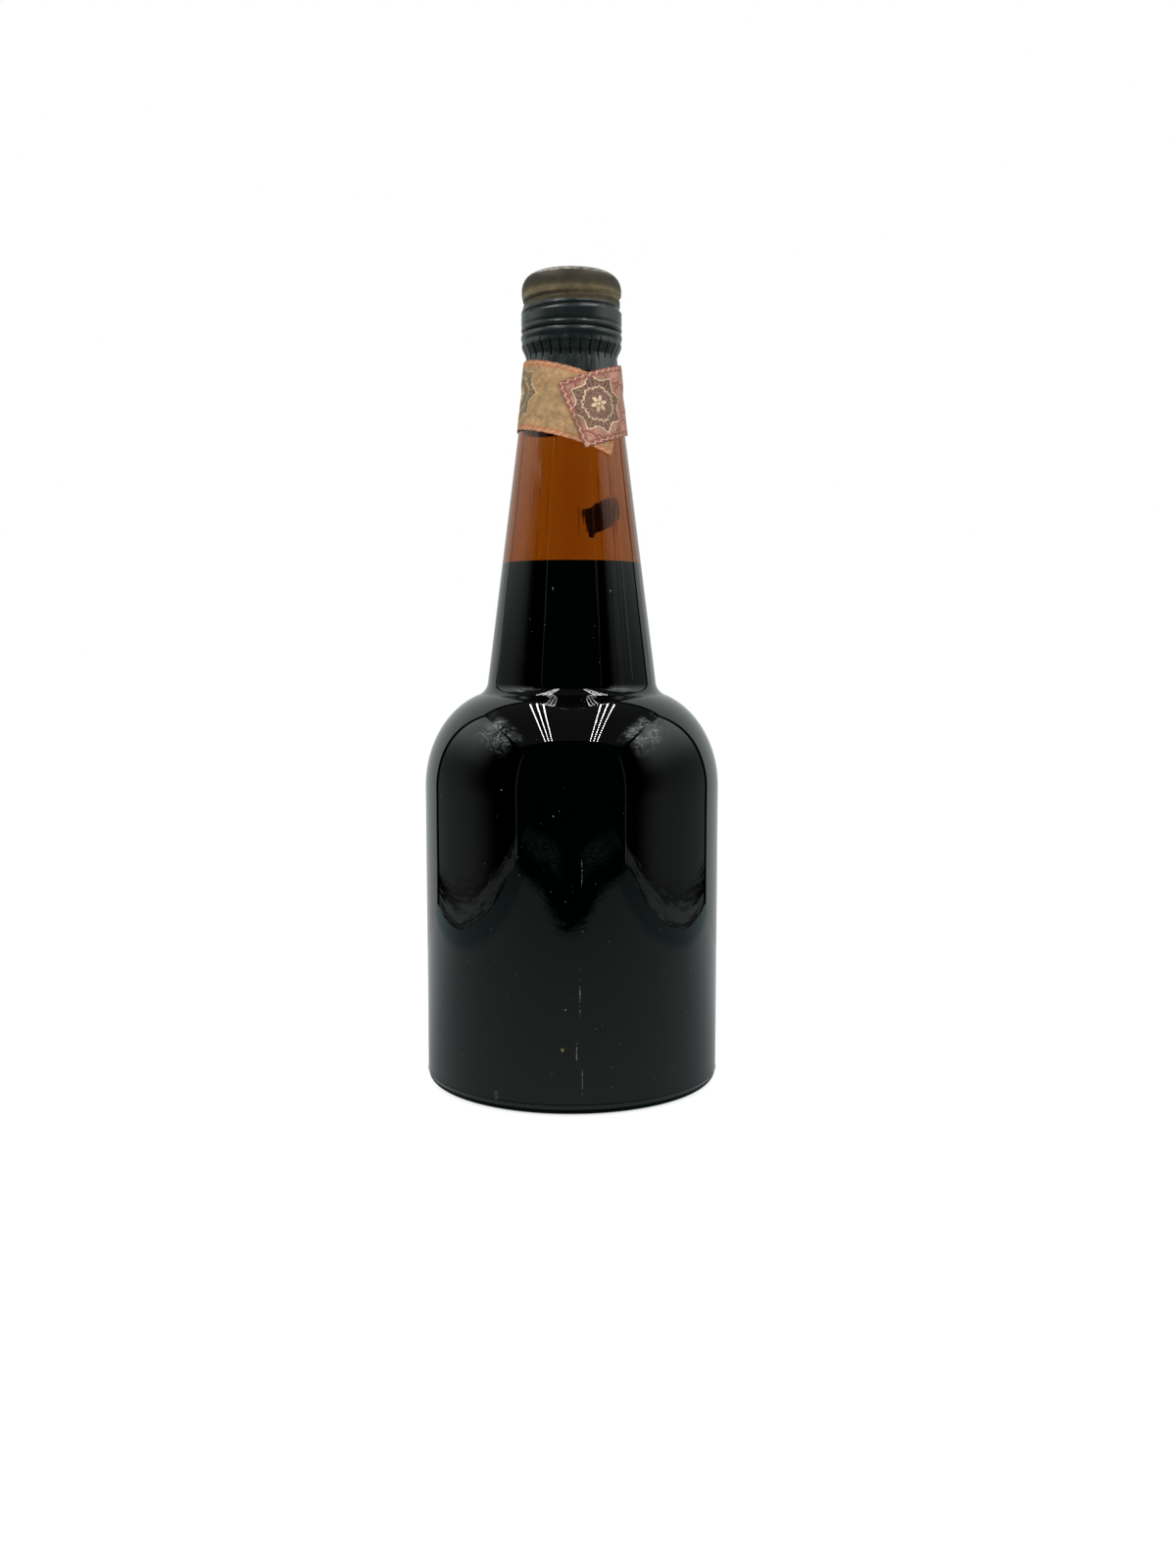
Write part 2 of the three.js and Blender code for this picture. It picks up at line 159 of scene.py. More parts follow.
# Shoulder dome and the fillet at the neck's foot, set in from the outside by a distance
def shoulderProfile(inset, domeSteps, filletSteps):
    run = bottleSizes["shoulderRun"] - inset
    rise = bottleSizes["shoulderRise"] - inset
    radius = bottleSizes["neckFillet"] + inset
    centreR = bottleSizes["bodyRadius"] - bottleSizes["shoulderRun"]
    low, high = 0.0, math.pi / 2
    for _ in range(50):
        a = (low + high) / 2
        size = math.hypot(math.cos(a) / run, math.sin(a) / rise)
        normal = (math.cos(a) / run / size, math.sin(a) / rise / size)
        r = centreR + run * math.cos(a) + radius * normal[0]
        z = bottleSizes["wallTop"] + rise * math.sin(a) + radius * normal[1]
        distance = (r - neckRadius(z)) * math.cos(taper) + inset
        if distance > radius:
            low = a
        else:
            high = a
    filletFrom = math.degrees(math.atan2(-normal[1], -normal[0]))
    dome = ellipseArc(centreR, bottleSizes["wallTop"], run, rise, 0, math.degrees(a), domeSteps)
    fillet = ellipseArc(r, z, radius, radius, filletFrom, -180 + bottleSizes["neckTaper"], filletSteps)
    return dome + fillet[1:]


# The blown neck's wall is thinner at its two sides: how far its bore swells there at a height
def neckLobe(z):
    low = float(smoothstep(z, 126, 150))
    return 1.05 * low * (1 - float(smoothstep(z, 222, 231)))


def lobed(points):
    return [(r, z, neckLobe(z)) for r, z in points]


# A smooth curve through profile points
def smoothProfile(points, steps):
    p = np.array([points[0], *points, points[-1]], float)
    out = []
    for i in range(1, len(p) - 2):
        for k in range(steps):
            t = k / steps
            out.append(tuple(0.5 * (2 * p[i] + (p[i + 1] - p[i - 1]) * t
                                    + (2 * p[i - 1] - 5 * p[i] + 4 * p[i + 1] - p[i + 2]) * t ** 2
                                    + (3 * p[i] - p[i - 1] - 3 * p[i + 1] + p[i + 2]) * t ** 3)))
    return [*out, tuple(p[-1])]


# How far the helical thread lifts a place, from its angle about Z, its radius and its height
def threadLift(tree, given, angle, radius, height):
    pitch = bottleSizes["pitch"] * mm
    # How far up the helix the place is, in whole turns from the one through +X
    turn = addNode(tree, "ShaderNodeMath", [angle, math.tau], operation="DIVIDE")
    risen = addNode(tree, "ShaderNodeMath", [turn, pitch], operation="MULTIPLY")
    above = addNode(tree, "ShaderNodeMath", [height, given["Thread Height"]], operation="SUBTRACT")
    above = addNode(tree, "ShaderNodeMath", [above, risen], operation="SUBTRACT")
    above = addNode(tree, "ShaderNodeMath", [above, pitch], operation="DIVIDE")
    nearest = addNode(tree, "ShaderNodeMath", [above], operation="ROUND")
    off = addNode(tree, "ShaderNodeMath", [above, nearest], operation="SUBTRACT")
    off = addNode(tree, "ShaderNodeMath", [off], operation="ABSOLUTE")
    off = addNode(tree, "ShaderNodeMath", [off, pitch], operation="MULTIPLY")
    shape = addNode(tree, "ShaderNodeMapRange",
                    [off, given["Thread Foot"], given["Thread Crest"], 0.0, 1.0],
                    interpolation_type="SMOOTHSTEP")
    # The thread fades in and out at its ends
    degrees = addNode(tree, "ShaderNodeMath", [turn, nearest], operation="ADD")
    degrees = addNode(tree, "ShaderNodeMath", [degrees, 360.0], operation="MULTIPLY")
    fromStart = addNode(tree, "ShaderNodeMath", [degrees, given["Thread Start"]], operation="SUBTRACT")
    fromEnd = addNode(tree, "ShaderNodeMath", [given["Thread End"], degrees], operation="SUBTRACT")
    inside = addNode(tree, "ShaderNodeMath", [fromStart, fromEnd], operation="MINIMUM")
    strength = addNode(tree, "ShaderNodeMapRange", [inside, 0.0, bottleSizes["threadFade"], 0.0, 1.0],
                       interpolation_type="SMOOTHSTEP")
    outer = addNode(tree, "ShaderNodeMath", [radius, given["Threaded From"]], operation="GREATER_THAN")
    rise = addNode(tree, "ShaderNodeMath", [shape, strength], operation="MULTIPLY")
    rise = addNode(tree, "ShaderNodeMath", [rise, outer], operation="MULTIPLY")
    return addNode(tree, "ShaderNodeMath", [rise, given["Thread Rise"]], operation="MULTIPLY")


# Geometry Nodes: a profile of (radius, lobe, height) points turned about Z, with a helical thread;
# a lobe is how far a row swells at +X and -X
def turnedPieceTree():
    tree, given = startTree("turnedPiece", "Profile", {
        "Columns": 192,
        "Thread Rise": 0.0,
        "Thread Height": 0.0,
        "Thread Foot": 0.001,
        "Thread Crest": 0.0,
        "Thread Start": 0.0,
        "Thread End": 0.0,
        "Threaded From": 0.012,
        "Ripple": 0.0,
        "Ripple Scale": 30.0,
        "Ripple From": 0.0,
    })
    rows = addNode(tree, "GeometryNodeAttributeDomainSize", [given["Profile"]], component="MESH")
    across = addNode(tree, "ShaderNodeMath", [given["Columns"], 1], operation="ADD")
    grid = addNode(tree, "GeometryNodeMeshGrid", [1.0, 1.0, across, rows.outputs["Point Count"]])
    place = addNode(tree, "ShaderNodeSeparateXYZ", [addNode(tree, "GeometryNodeInputPosition")])
    angle = addNode(tree, "ShaderNodeMath", [place.outputs["X"], 0.5], operation="ADD")
    angle = addNode(tree, "ShaderNodeMath", [angle, math.tau], operation="MULTIPLY")
    lastRow = addNode(tree, "ShaderNodeMath", [rows.outputs["Point Count"], 1], operation="SUBTRACT")
    row = addNode(tree, "ShaderNodeMath", [place.outputs["Y"], 0.5], operation="ADD")
    row = addNode(tree, "ShaderNodeMath", [row, lastRow], operation="MULTIPLY")
    row = addNode(tree, "ShaderNodeMath", [row], operation="ROUND")
    onProfile = addNode(tree, "GeometryNodeSampleIndex",
                        {"Geometry": given["Profile"], "Index": row,
                         "Value": addNode(tree, "GeometryNodeInputPosition")},
                        data_type="FLOAT_VECTOR", domain="POINT")
    onProfile = addNode(tree, "ShaderNodeSeparateXYZ", [onProfile])
    radius, height = onProfile.outputs["X"], onProfile.outputs["Z"]
    lift = threadLift(tree, given, angle, radius, height)
    shaped = addNode(tree, "ShaderNodeMath", [radius, lift], operation="ADD")
    sideways = addNode(tree, "ShaderNodeMath", [angle, 2.0], operation="MULTIPLY")
    sideways = addNode(tree, "ShaderNodeMath", [sideways], operation="COSINE")
    sideways = addNode(tree, "ShaderNodeMapRange", [sideways, -1.0, 1.0, 0.0, 1.0])
    sideways = addNode(tree, "ShaderNodeMath", [sideways, 0.7], operation="POWER")
    shaped = addNode(tree, "ShaderNodeMath", [sideways, onProfile.outputs["Y"], shaped],
                     operation="MULTIPLY_ADD")

    # Slow ripples, always inwards, as a blown or rolled wall has; their scale is in waves per metre
    cosine = addNode(tree, "ShaderNodeMath", [angle], operation="COSINE")
    sine = addNode(tree, "ShaderNodeMath", [angle], operation="SINE")
    x = addNode(tree, "ShaderNodeMath", [shaped, cosine], operation="MULTIPLY")
    y = addNode(tree, "ShaderNodeMath", [shaped, sine], operation="MULTIPLY")
    plain = addNode(tree, "ShaderNodeCombineXYZ", [x, y, height])
    ripple = addNode(tree, "ShaderNodeTexNoise",
                     {"Vector": plain, "Scale": given["Ripple Scale"], "Detail": 1.0, "Roughness": 0.4})
    rippled = addNode(tree, "ShaderNodeMath", [radius, given["Ripple From"]], operation="GREATER_THAN")
    dip = addNode(tree, "ShaderNodeMath", [ripple.outputs[0], given["Ripple"]], operation="MULTIPLY")
    dip = addNode(tree, "ShaderNodeMath", [dip, rippled], operation="MULTIPLY")
    shaped = addNode(tree, "ShaderNodeMath", [shaped, dip], operation="SUBTRACT")
    x = addNode(tree, "ShaderNodeMath", [shaped, cosine], operation="MULTIPLY")
    y = addNode(tree, "ShaderNodeMath", [shaped, sine], operation="MULTIPLY")
    turned = addNode(tree, "ShaderNodeCombineXYZ", [x, y, height])
    wall = addNode(tree, "GeometryNodeSetPosition", {"Geometry": grid, "Position": turned})
    closed = addNode(tree, "GeometryNodeMergeByDistance", {"Geometry": wall, "Distance": 1e-6})
    smooth = addNode(tree, "GeometryNodeSetShadeSmooth", {"Geometry": closed})
    return finishTree(tree, smooth, given["Material"])


turnedPiece = turnedPieceTree()


def meshObject(name, points, edges=(), faces=()):
    mesh = bpy.data.meshes.new(name)
    mesh.from_pydata([tuple(p) for p in points], list(edges), [tuple(f) for f in faces])
    mesh.update()
    thing = bpy.data.objects.new(name, mesh)
    bpy.context.scene.collection.objects.link(thing)
    return thing


# Puts a node tree on a start object, sets its inputs by identifier, and leaves a plain mesh
def grown(name, tree, start, settings):
    modifier = start.modifiers.new(tree.name, "NODES")
    modifier.node_group = tree
    sockets = {item.name: item.identifier for item in tree.interface.items_tree
               if item.item_type == "SOCKET" and item.in_out == "INPUT"}
    for key, value in settings.items():
        modifier[sockets[key]] = value
    bpy.context.view_layer.update()
    seen = start.evaluated_get(bpy.context.evaluated_depsgraph_get())
    mesh = bpy.data.meshes.new_from_object(seen)
    bpy.data.objects.remove(start)
    mesh.name = name
    piece = bpy.data.objects.new(name, mesh)
    bpy.context.scene.collection.objects.link(piece)
    return piece


def turnedFrom(name, profile, settings):
    points = [(p[0] * mm, p[2] * mm if len(p) > 2 else 0, p[1] * mm) for p in profile]
    start = meshObject(name + "Profile", points, [(i, i + 1) for i in range(len(points) - 1)])
    return grown(name, turnedPiece, start, settings)


# Says which body a piece rides on, and hides the CAD node that it stands for, if any
def settle(piece, body, node=None):
    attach(piece, body)
    if node:
        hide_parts(node)


# Camera, fitted to the photograph: level with the shoulder and tipped down a little
cameraSettings = {"place": (0.00523, -0.4767, 0.1386), "tipDegrees": 84.9, "lens": 33.7}
cameraData = bpy.data.cameras.new("photoCamera")
cameraData.lens = cameraSettings["lens"]
cameraData.sensor_width = 36
cameraData.clip_start = 0.01
cameraObject = bpy.data.objects.new("photoCamera", cameraData)
cameraObject.location = cameraSettings["place"]
cameraObject.rotation_euler = (math.radians(cameraSettings["tipDegrees"]), 0, 0)
bpy.context.scene.collection.objects.link(cameraObject)
bpy.context.scene.camera = cameraObject
bpy.context.scene.view_settings.view_transform = "Standard"
print("camera ready")

# Room light: white where the camera looks, or sees through glass; dark in front for mirror rays
roomSettings = {
    "seen": 1.0,
    "fill": 0.72,
    "mirrored": 0.02,
    "mirroredTint": (0.05, 1.0, 0.7, 1),
    "front": 0.25,
    "behindPaper": 1.3,
}


def makeRoom():
    r = roomSettings
    world = bpy.data.worlds.new("whiteRoom")
    world.use_nodes = True
    tree = world.node_tree
    tree.nodes.clear()
    path = addNode(tree, "ShaderNodeLightPath")
    heading = addNode(tree, "ShaderNodeSeparateXYZ", [addNode(tree, "ShaderNodeTexCoord")])
    behind = addNode(tree, "ShaderNodeMapRange", [heading.outputs["Y"], -0.35, 0.05, r["front"], 1.0])
    dull = addNode(tree, "ShaderNodeMath", [path.outputs["Diffuse Depth"], 0.5], operation="GREATER_THAN")
    behind = addNode(tree, "ShaderNodeMix", {0: dull, 2: behind, 3: r["behindPaper"]}, data_type="FLOAT")
    through = addNode(tree, "ShaderNodeBackground", [grey(1), behind])
    fill = addNode(tree, "ShaderNodeBackground", [grey(1), r["fill"]])
    mirrored = addNode(tree, "ShaderNodeBackground", [r["mirroredTint"], r["mirrored"]])
    seen = addNode(tree, "ShaderNodeBackground", [grey(1), r["seen"]])
    lit = addNode(tree, "ShaderNodeMixShader", [path.outputs["Is Glossy Ray"], fill, mirrored])
    lit = addNode(tree, "ShaderNodeMixShader", [path.outputs["Is Transmission Ray"], lit, through])
    lit = addNode(tree, "ShaderNodeMixShader", [path.outputs["Is Camera Ray"], lit, seen])
    addNode(tree, "ShaderNodeOutputWorld", [lit])
    bpy.context.scene.world = world


makeRoom()

# Pale floor: white to the camera but for a soft shadow; mirror rays see the tent's cloth floor.
# Places and sizes of the floor, the tent and its lamps are in metres
floorSettings = {
    "size": 6.0,
    "glow": 0.8,
    "shade": 0.3,
    "paper": 0.8,
    "underBottle": 0.0487,
    "clothEnds": (-0.35, 0.35),
    "clothTint": (0.92, 1.0, 1.02),
    "clothStops": ((0.0, 0.235), (0.15, 0.29), (0.33, 0.35), (0.5, 0.44), (0.64, 0.64), (0.8, 0.76),
                   (1.0, 0.86)),
    "teal": (0.56, 0.72, 0.71, 1),
    "beyondCloth": (0.001, 0.016, 0.011, 1),
}


# The floor's cloth gets brighter from front to back, and turns teal towards the walls
def floorClothColour(tree, place, wide):
    f = floorSettings
    level = addNode(tree, "ShaderNodeMapRange", [place.outputs["Y"], *f["clothEnds"], 0.0, 1.0])
    ramp = addNode(tree, "ShaderNodeValToRGB", [level])
    fillRamp(ramp, f["clothStops"], f["clothTint"])
    teal = addNode(tree, "ShaderNodeMapRange", [wide, 0.26, 0.285, 0.0, 1.0])
    tinted = addNode(tree, "ShaderNodeMix", {0: teal, 6: grey(1), 7: f["teal"]}, data_type="RGBA")
    tinted = addNode(tree, "ShaderNodeMix", {0: 1.0, 6: ramp.outputs[0], 7: tinted.outputs[2]},
                     data_type="RGBA", blend_type="MULTIPLY")
    return tinted.outputs[2]


# How much of the floor is cloth: its front end has two corners and is frayed
def floorClothShare(tree, onFloor, place, wide):
    drawn = addNode(tree, "ShaderNodeVectorMath", [onFloor, (0.7, 5.0, 1.0)], operation="MULTIPLY")
    fray = addNode(tree, "ShaderNodeTexNoise", {"Vector": drawn, "Scale": 30.0, "Detail": 8.0,
                                                "Roughness": 0.75, "Distortion": 0.5})
    edge = addNode(tree, "ShaderNodeMapRange", [wide, 0.03, 0.16, -0.345, -0.42])
    loose = addNode(tree, "ShaderNodeMapRange", [fray.outputs[0], 0.3, 0.7, -0.035, 0.035])
    edge = addNode(tree, "ShaderNodeMath", [edge, loose], operation="ADD")
    past = addNode(tree, "ShaderNodeMath", [place.outputs["Y"], edge], operation="SUBTRACT")
    cloth = addNode(tree, "ShaderNodeMapRange", [past, -0.012, 0.03, 0.0, 1.0])
    # A faint loose end of the cloth lies farther out
    outer = addNode(tree, "ShaderNodeMapRange", [past, -0.27, -0.22, 0.0, 1.0])
    nearer = addNode(tree, "ShaderNodeMapRange", [past, -0.14, -0.09, 1.0, 0.0])
    apart = addNode(tree, "ShaderNodeMapRange", [wide, 0.05, 0.12, 0.0, 1.0])
    tatters = addNode(tree, "ShaderNodeMapRange", [fray.outputs[0], 0.42, 0.56, 0.0, 0.55])
    for share in (nearer, apart, tatters):
        outer = addNode(tree, "ShaderNodeMath", [outer, share], operation="MULTIPLY")
    cloth = addNode(tree, "ShaderNodeMath", [cloth, outer], operation="MAXIMUM")
    sides = addNode(tree, "ShaderNodeMapRange", [wide, 0.40, 0.42, 1.0, 0.0])
    return addNode(tree, "ShaderNodeMath", [cloth, sides], operation="MULTIPLY")


# What mirror rays see of the floor: the cloth, with a painted shadow dark round the bottle's foot and a
# painted bright ring just outside it
def mirroredFloor(tree, onFloor, place):
    wide = addNode(tree, "ShaderNodeMath", [place.outputs["X"]], operation="ABSOLUTE")
    cloth = floorClothShare(tree, onFloor, place, wide)
    flatPlace = addNode(tree, "ShaderNodeCombineXYZ", [place.outputs["X"], place.outputs["Y"], 0.0])
    away = addNode(tree, "ShaderNodeVectorMath", [flatPlace], operation="LENGTH").outputs["Value"]
    foot = floorSettings["underBottle"]
    # Painted shadow round the foot, and a painted bright ring just outside it
    lit = addNode(tree, "ShaderNodeMapRange", [away, foot, foot + 0.0015, 0.05, 1.0])
    rim = addNode(tree, "ShaderNodeMapRange", [away, foot + 0.0015, foot + 0.005, 1.7, 1.0])
    cloth = addNode(tree, "ShaderNodeMath", [cloth, lit], operation="MULTIPLY")
    colour = addNode(tree, "ShaderNodeMix", {0: cloth, 6: floorSettings["beyondCloth"],
                                             7: floorClothColour(tree, place, wide)}, data_type="RGBA")
    return addNode(tree, "ShaderNodeEmission", [colour.outputs[2], rim])


def makeFloor():
    f = floorSettings
    half = f["size"] / 2
    floor = meshObject("paleFloor", [(-half, -half, 0), (half, -half, 0), (half, half, 0), (-half, half, 0)],
                       faces=[(0, 1, 2, 3)])
    floor.location.z = -0.0001
    material, tree = emptyMaterial("paleSweepPaper")
    path = addNode(tree, "ShaderNodeLightPath")
    onFloor = addNode(tree, "ShaderNodeTexCoord").outputs["Object"]
    place = addNode(tree, "ShaderNodeSeparateXYZ", [onFloor])
    mirrored = mirroredFloor(tree, onFloor, place)
    paper = addNode(tree, "ShaderNodeBsdfDiffuse", [grey(f["paper"])])
    shade = addNode(tree, "ShaderNodeBsdfDiffuse", [grey(f["shade"])])
    glow = addNode(tree, "ShaderNodeEmission", [grey(1), f["glow"]])
    seen = addNode(tree, "ShaderNodeAddShader", [shade, glow])
    behind = addNode(tree, "ShaderNodeMapRange",
                     [place.outputs["Y"], -0.40, -0.10, roomSettings["front"], 1.0])
    through = addNode(tree, "ShaderNodeEmission", [grey(1), behind])
    lit = addNode(tree, "ShaderNodeMixShader", [path.outputs["Is Camera Ray"], paper, seen])
    lit = addNode(tree, "ShaderNodeMixShader", [path.outputs["Is Glossy Ray"], lit, mirrored])
    lit = addNode(tree, "ShaderNodeMixShader", [path.outputs["Is Transmission Ray"], lit, through])
    addNode(tree, "ShaderNodeOutputMaterial", [lit])
    floor.data.materials.append(material)


makeFloor()

# Light tent round the bottle, seen only in reflections: cloth walls, dark seams, open front
tentSettings = {
    "halfWidth": 0.315,
    "flare": 0.37,
    "front": -0.44,
    "back": 0.20,
    "height": 0.45,
    "roofFront": -0.30,
    "seam": 0.012,
    "clothTint": (0.93, 1.01, 0.98, 1),
}


def tentMaterial(name, build):
    material, tree = emptyMaterial(name)
    place = addNode(tree, "ShaderNodeTexCoord").outputs["Object"]
    split = addNode(tree, "ShaderNodeSeparateXYZ", [place])
    level = build(tree, place, split)
    glow = addNode(tree, "ShaderNodeEmission", [tentSettings["clothTint"], level])
    addNode(tree, "ShaderNodeOutputMaterial", [glow])
    material.cycles.emission_sampling = "NONE"
    return material


# Where the cloth bulges in the upper corners it catches the lamps: soft clouds with bright thin creases
def creasedPatch(tree, place, split):
    cloud = addNode(tree, "ShaderNodeTexNoise", {"Vector": place, "Scale": 9.0, "Detail": 2.0,
                                                 "Distortion": 0.4})
    cloud = addNode(tree, "ShaderNodeMapRange", [cloud.outputs[0], 0.4, 0.62, 0.1, 1.4])
    crease = addNode(tree, "ShaderNodeTexNoise", {"Vector": place, "Scale": 10.0, "Detail": 3.0,
                                                  "Roughness": 0.5, "Distortion": 1.2})
    crease = addNode(tree, "ShaderNodeMath", [crease.outputs[0], 0.5], operation="SUBTRACT")
    crease = addNode(tree, "ShaderNodeMath", [crease], operation="ABSOLUTE")
    crease = addNode(tree, "ShaderNodeMapRange", [crease, 0.0, 0.028, 3.8, 0.0])
    level = addNode(tree, "ShaderNodeMath", [cloud, crease], operation="ADD")
    front = addNode(tree, "ShaderNodeMapRange", [split.outputs["Y"], -0.27, -0.13, 0.0, 1.0],
                    interpolation_type="SMOOTHSTEP")
    rear = addNode(tree, "ShaderNodeMapRange", [split.outputs["Y"], 0.0, 0.11, 1.0, 0.12],
                   interpolation_type="SMOOTHSTEP")
    level = addNode(tree, "ShaderNodeMath", [level, front], operation="MULTIPLY")
    return addNode(tree, "ShaderNodeMath", [level, rear], operation="MULTIPLY")


# Side walls are grey cloth, dim towards the opening, with a bright creased patch high up; the cloth
# of the floor runs a little way up them, and a dark seam joins them to the back
def sideCloth(tree, place, split):
    forward = addNode(tree, "ShaderNodeMapRange", [split.outputs["Z"], 0.04, 0.12, 0.045, -0.015])
    forward = addNode(tree, "ShaderNodeMath", [split.outputs["X"], 0.13, forward], operation="MULTIPLY_ADD")
    forward = addNode(tree, "ShaderNodeMath", [split.outputs["Y"], forward], operation="ADD")
    forward = addNode(tree, "ShaderNodeMapRange", [forward, -0.25, -0.04, 0.0, 1.0],
                      interpolation_type="SMOOTHSTEP")
    middle = addNode(tree, "ShaderNodeMapRange", [split.outputs["Z"], 0.16, 0.34, 0.0, 0.8],
                     interpolation_type="SMOOTHSTEP")
    low = addNode(tree, "ShaderNodeMapRange", [split.outputs["Z"], 0.05, 0.13, 0.22, 0.17])
    level = addNode(tree, "ShaderNodeMath", [low, middle], operation="ADD")
    level = addNode(tree, "ShaderNodeMath", [level, forward], operation="MULTIPLY")
    high = addNode(tree, "ShaderNodeMapRange", [split.outputs["Z"], 0.27, 0.41, 0.0, 1.0],
                   interpolation_type="SMOOTHSTEP")
    patch = addNode(tree, "ShaderNodeMath", [high, creasedPatch(tree, place, split)], operation="MULTIPLY")
    level = addNode(tree, "ShaderNodeMath", [level, patch], operation="ADD")
    # Near the floor: a dark gap, the frayed hem of the floor's cloth, and the dark joint under it
    drawn = addNode(tree, "ShaderNodeVectorMath", [place, (1.0, 0.3, 12.0)], operation="MULTIPLY")
    fray = addNode(tree, "ShaderNodeTexNoise", {"Vector": drawn, "Scale": 40.0, "Detail": 6.0,
                                                "Roughness": 0.7})
    fray = addNode(tree, "ShaderNodeMath", [fray.outputs[0], 0.5], operation="SUBTRACT")
    fray = addNode(tree, "ShaderNodeMath", [fray, 0.04, split.outputs["Z"]], operation="MULTIPLY_ADD")
    deep = addNode(tree, "ShaderNodeMapRange", [split.outputs["Y"], -0.02, 0.13, 0.6, 0.05])
    gap = addNode(tree, "ShaderNodeMapRange", [fray, 0.015, 0.025, deep, 1.0])
    lower = addNode(tree, "ShaderNodeMapRange", [split.outputs["Y"], 0.07, 0.13, 0.0, 0.005])
    hem = addNode(tree, "ShaderNodeMath", [fray, lower], operation="ADD")
    hem = addNode(tree, "ShaderNodeMapRange", [hem, 0.009, 0.015, 0.32, 0.0])
    joint = addNode(tree, "ShaderNodeMapRange", [fray, 0.001, 0.005, 0.1, 1.0])
    hem = addNode(tree, "ShaderNodeMath", [hem, joint], operation="MULTIPLY")
    level = addNode(tree, "ShaderNodeMath", [level, gap, hem], operation="MULTIPLY_ADD")
    # A pale edge at the opening, and the seam at the back
    opening = tentSettings["front"]
    edge = addNode(tree, "ShaderNodeMapRange",
                   [split.outputs["Y"], opening + 0.012, opening + 0.007, 0.0, 0.4])
    level = addNode(tree, "ShaderNodeMath", [level, edge], operation="ADD")
    back = tentSettings["back"]
    seam = addNode(tree, "ShaderNodeMapRange", [split.outputs["Y"], back - 0.024, back - 0.019, 1.0, 0.03])
    return addNode(tree, "ShaderNodeMath", [level, seam], operation="MULTIPLY")


# The back and the roof are plain cloth too, with dark seams where they meet the other walls
def backCloth(tree, place, split):
    t = tentSettings
    wide = addNode(tree, "ShaderNodeMath", [split.outputs["X"]], operation="ABSOLUTE")
    fromSide = addNode(tree, "ShaderNodeMath", [t["halfWidth"], wide], operation="SUBTRACT")
    fromTop = addNode(tree, "ShaderNodeMath", [t["height"], split.outputs["Z"]], operation="SUBTRACT")
    near = addNode(tree, "ShaderNodeMath", [fromSide, fromTop], operation="MINIMUM")
    return addNode(tree, "ShaderNodeMapRange", [near, t["seam"], t["seam"] + 0.008, 0.0, 0.66])


def roofCloth(tree, place, split):
    t = tentSettings
    wide = addNode(tree, "ShaderNodeMath", [split.outputs["X"]], operation="ABSOLUTE")
    outer = addNode(tree, "ShaderNodeMapRange",
                    [wide, t["halfWidth"] - 0.09, t["halfWidth"] - 0.04, 0.0, 1.0],
                    interpolation_type="SMOOTHSTEP")
    level = addNode(tree, "ShaderNodeMath", [outer, creasedPatch(tree, place, split), 0.10],
                    operation="MULTIPLY_ADD")
    fromBack = addNode(tree, "ShaderNodeMath", [t["back"], split.outputs["Y"]], operation="SUBTRACT")
    seam = addNode(tree, "ShaderNodeMapRange", [fromBack, t["seam"], t["seam"] + 0.008, 0.0, 1.0])
    return addNode(tree, "ShaderNodeMath", [level, seam], operation="MULTIPLY")


def onlyMirrored(thing):
    thing.visible_camera = False
    thing.visible_diffuse = False
    thing.visible_transmission = False
    thing.visible_volume_scatter = False
    thing.visible_shadow = False


def makeTent():
    t = tentSettings
    w, f, front, back, top, roof = (t[key] for key in ("halfWidth", "flare", "front", "back", "height",
                                                       "roofFront"))
    walls = {
        "tentLeft": ([(-f, front, 0), (-w, 0, 0), (-w, back, 0), (-w, back, top), (-w, 0, top),
                      (-f, front, top)], [(0, 1, 4, 5), (1, 2, 3, 4)], sideCloth),
        "tentRight": ([(f, front, 0), (w, 0, 0), (w, back, 0), (w, back, top), (w, 0, top),
                       (f, front, top)], [(0, 1, 4, 5), (1, 2, 3, 4)], sideCloth),
        "tentBack": ([(-w, back, 0), (w, back, 0), (w, back, top), (-w, back, top)], [(0, 1, 2, 3)],
                     backCloth),
        "tentRoof": ([(-w, roof, top), (w, roof, top), (w, back, top), (-w, back, top)], [(0, 1, 2, 3)],
                     roofCloth),
    }
    for name, (points, faces, build) in walls.items():
        wall = meshObject(name, points, faces=faces)
        wall.data.materials.append(tentMaterial(name + "Cloth", build))
        onlyMirrored(wall)


makeTent()

# Rows of small lamps under the tent's roof: reflections only
lampSettings = {
    "rowX": (0.100, 0.118, 0.137),
    "front": -0.285,
    "back": 0.15,
    "slant": 0.07,
    "pitch": 0.023,
    "dot": 0.0019,
    "long": 2.6,
    "colour": "#fdfbff",
    "strength": 120.0,
}


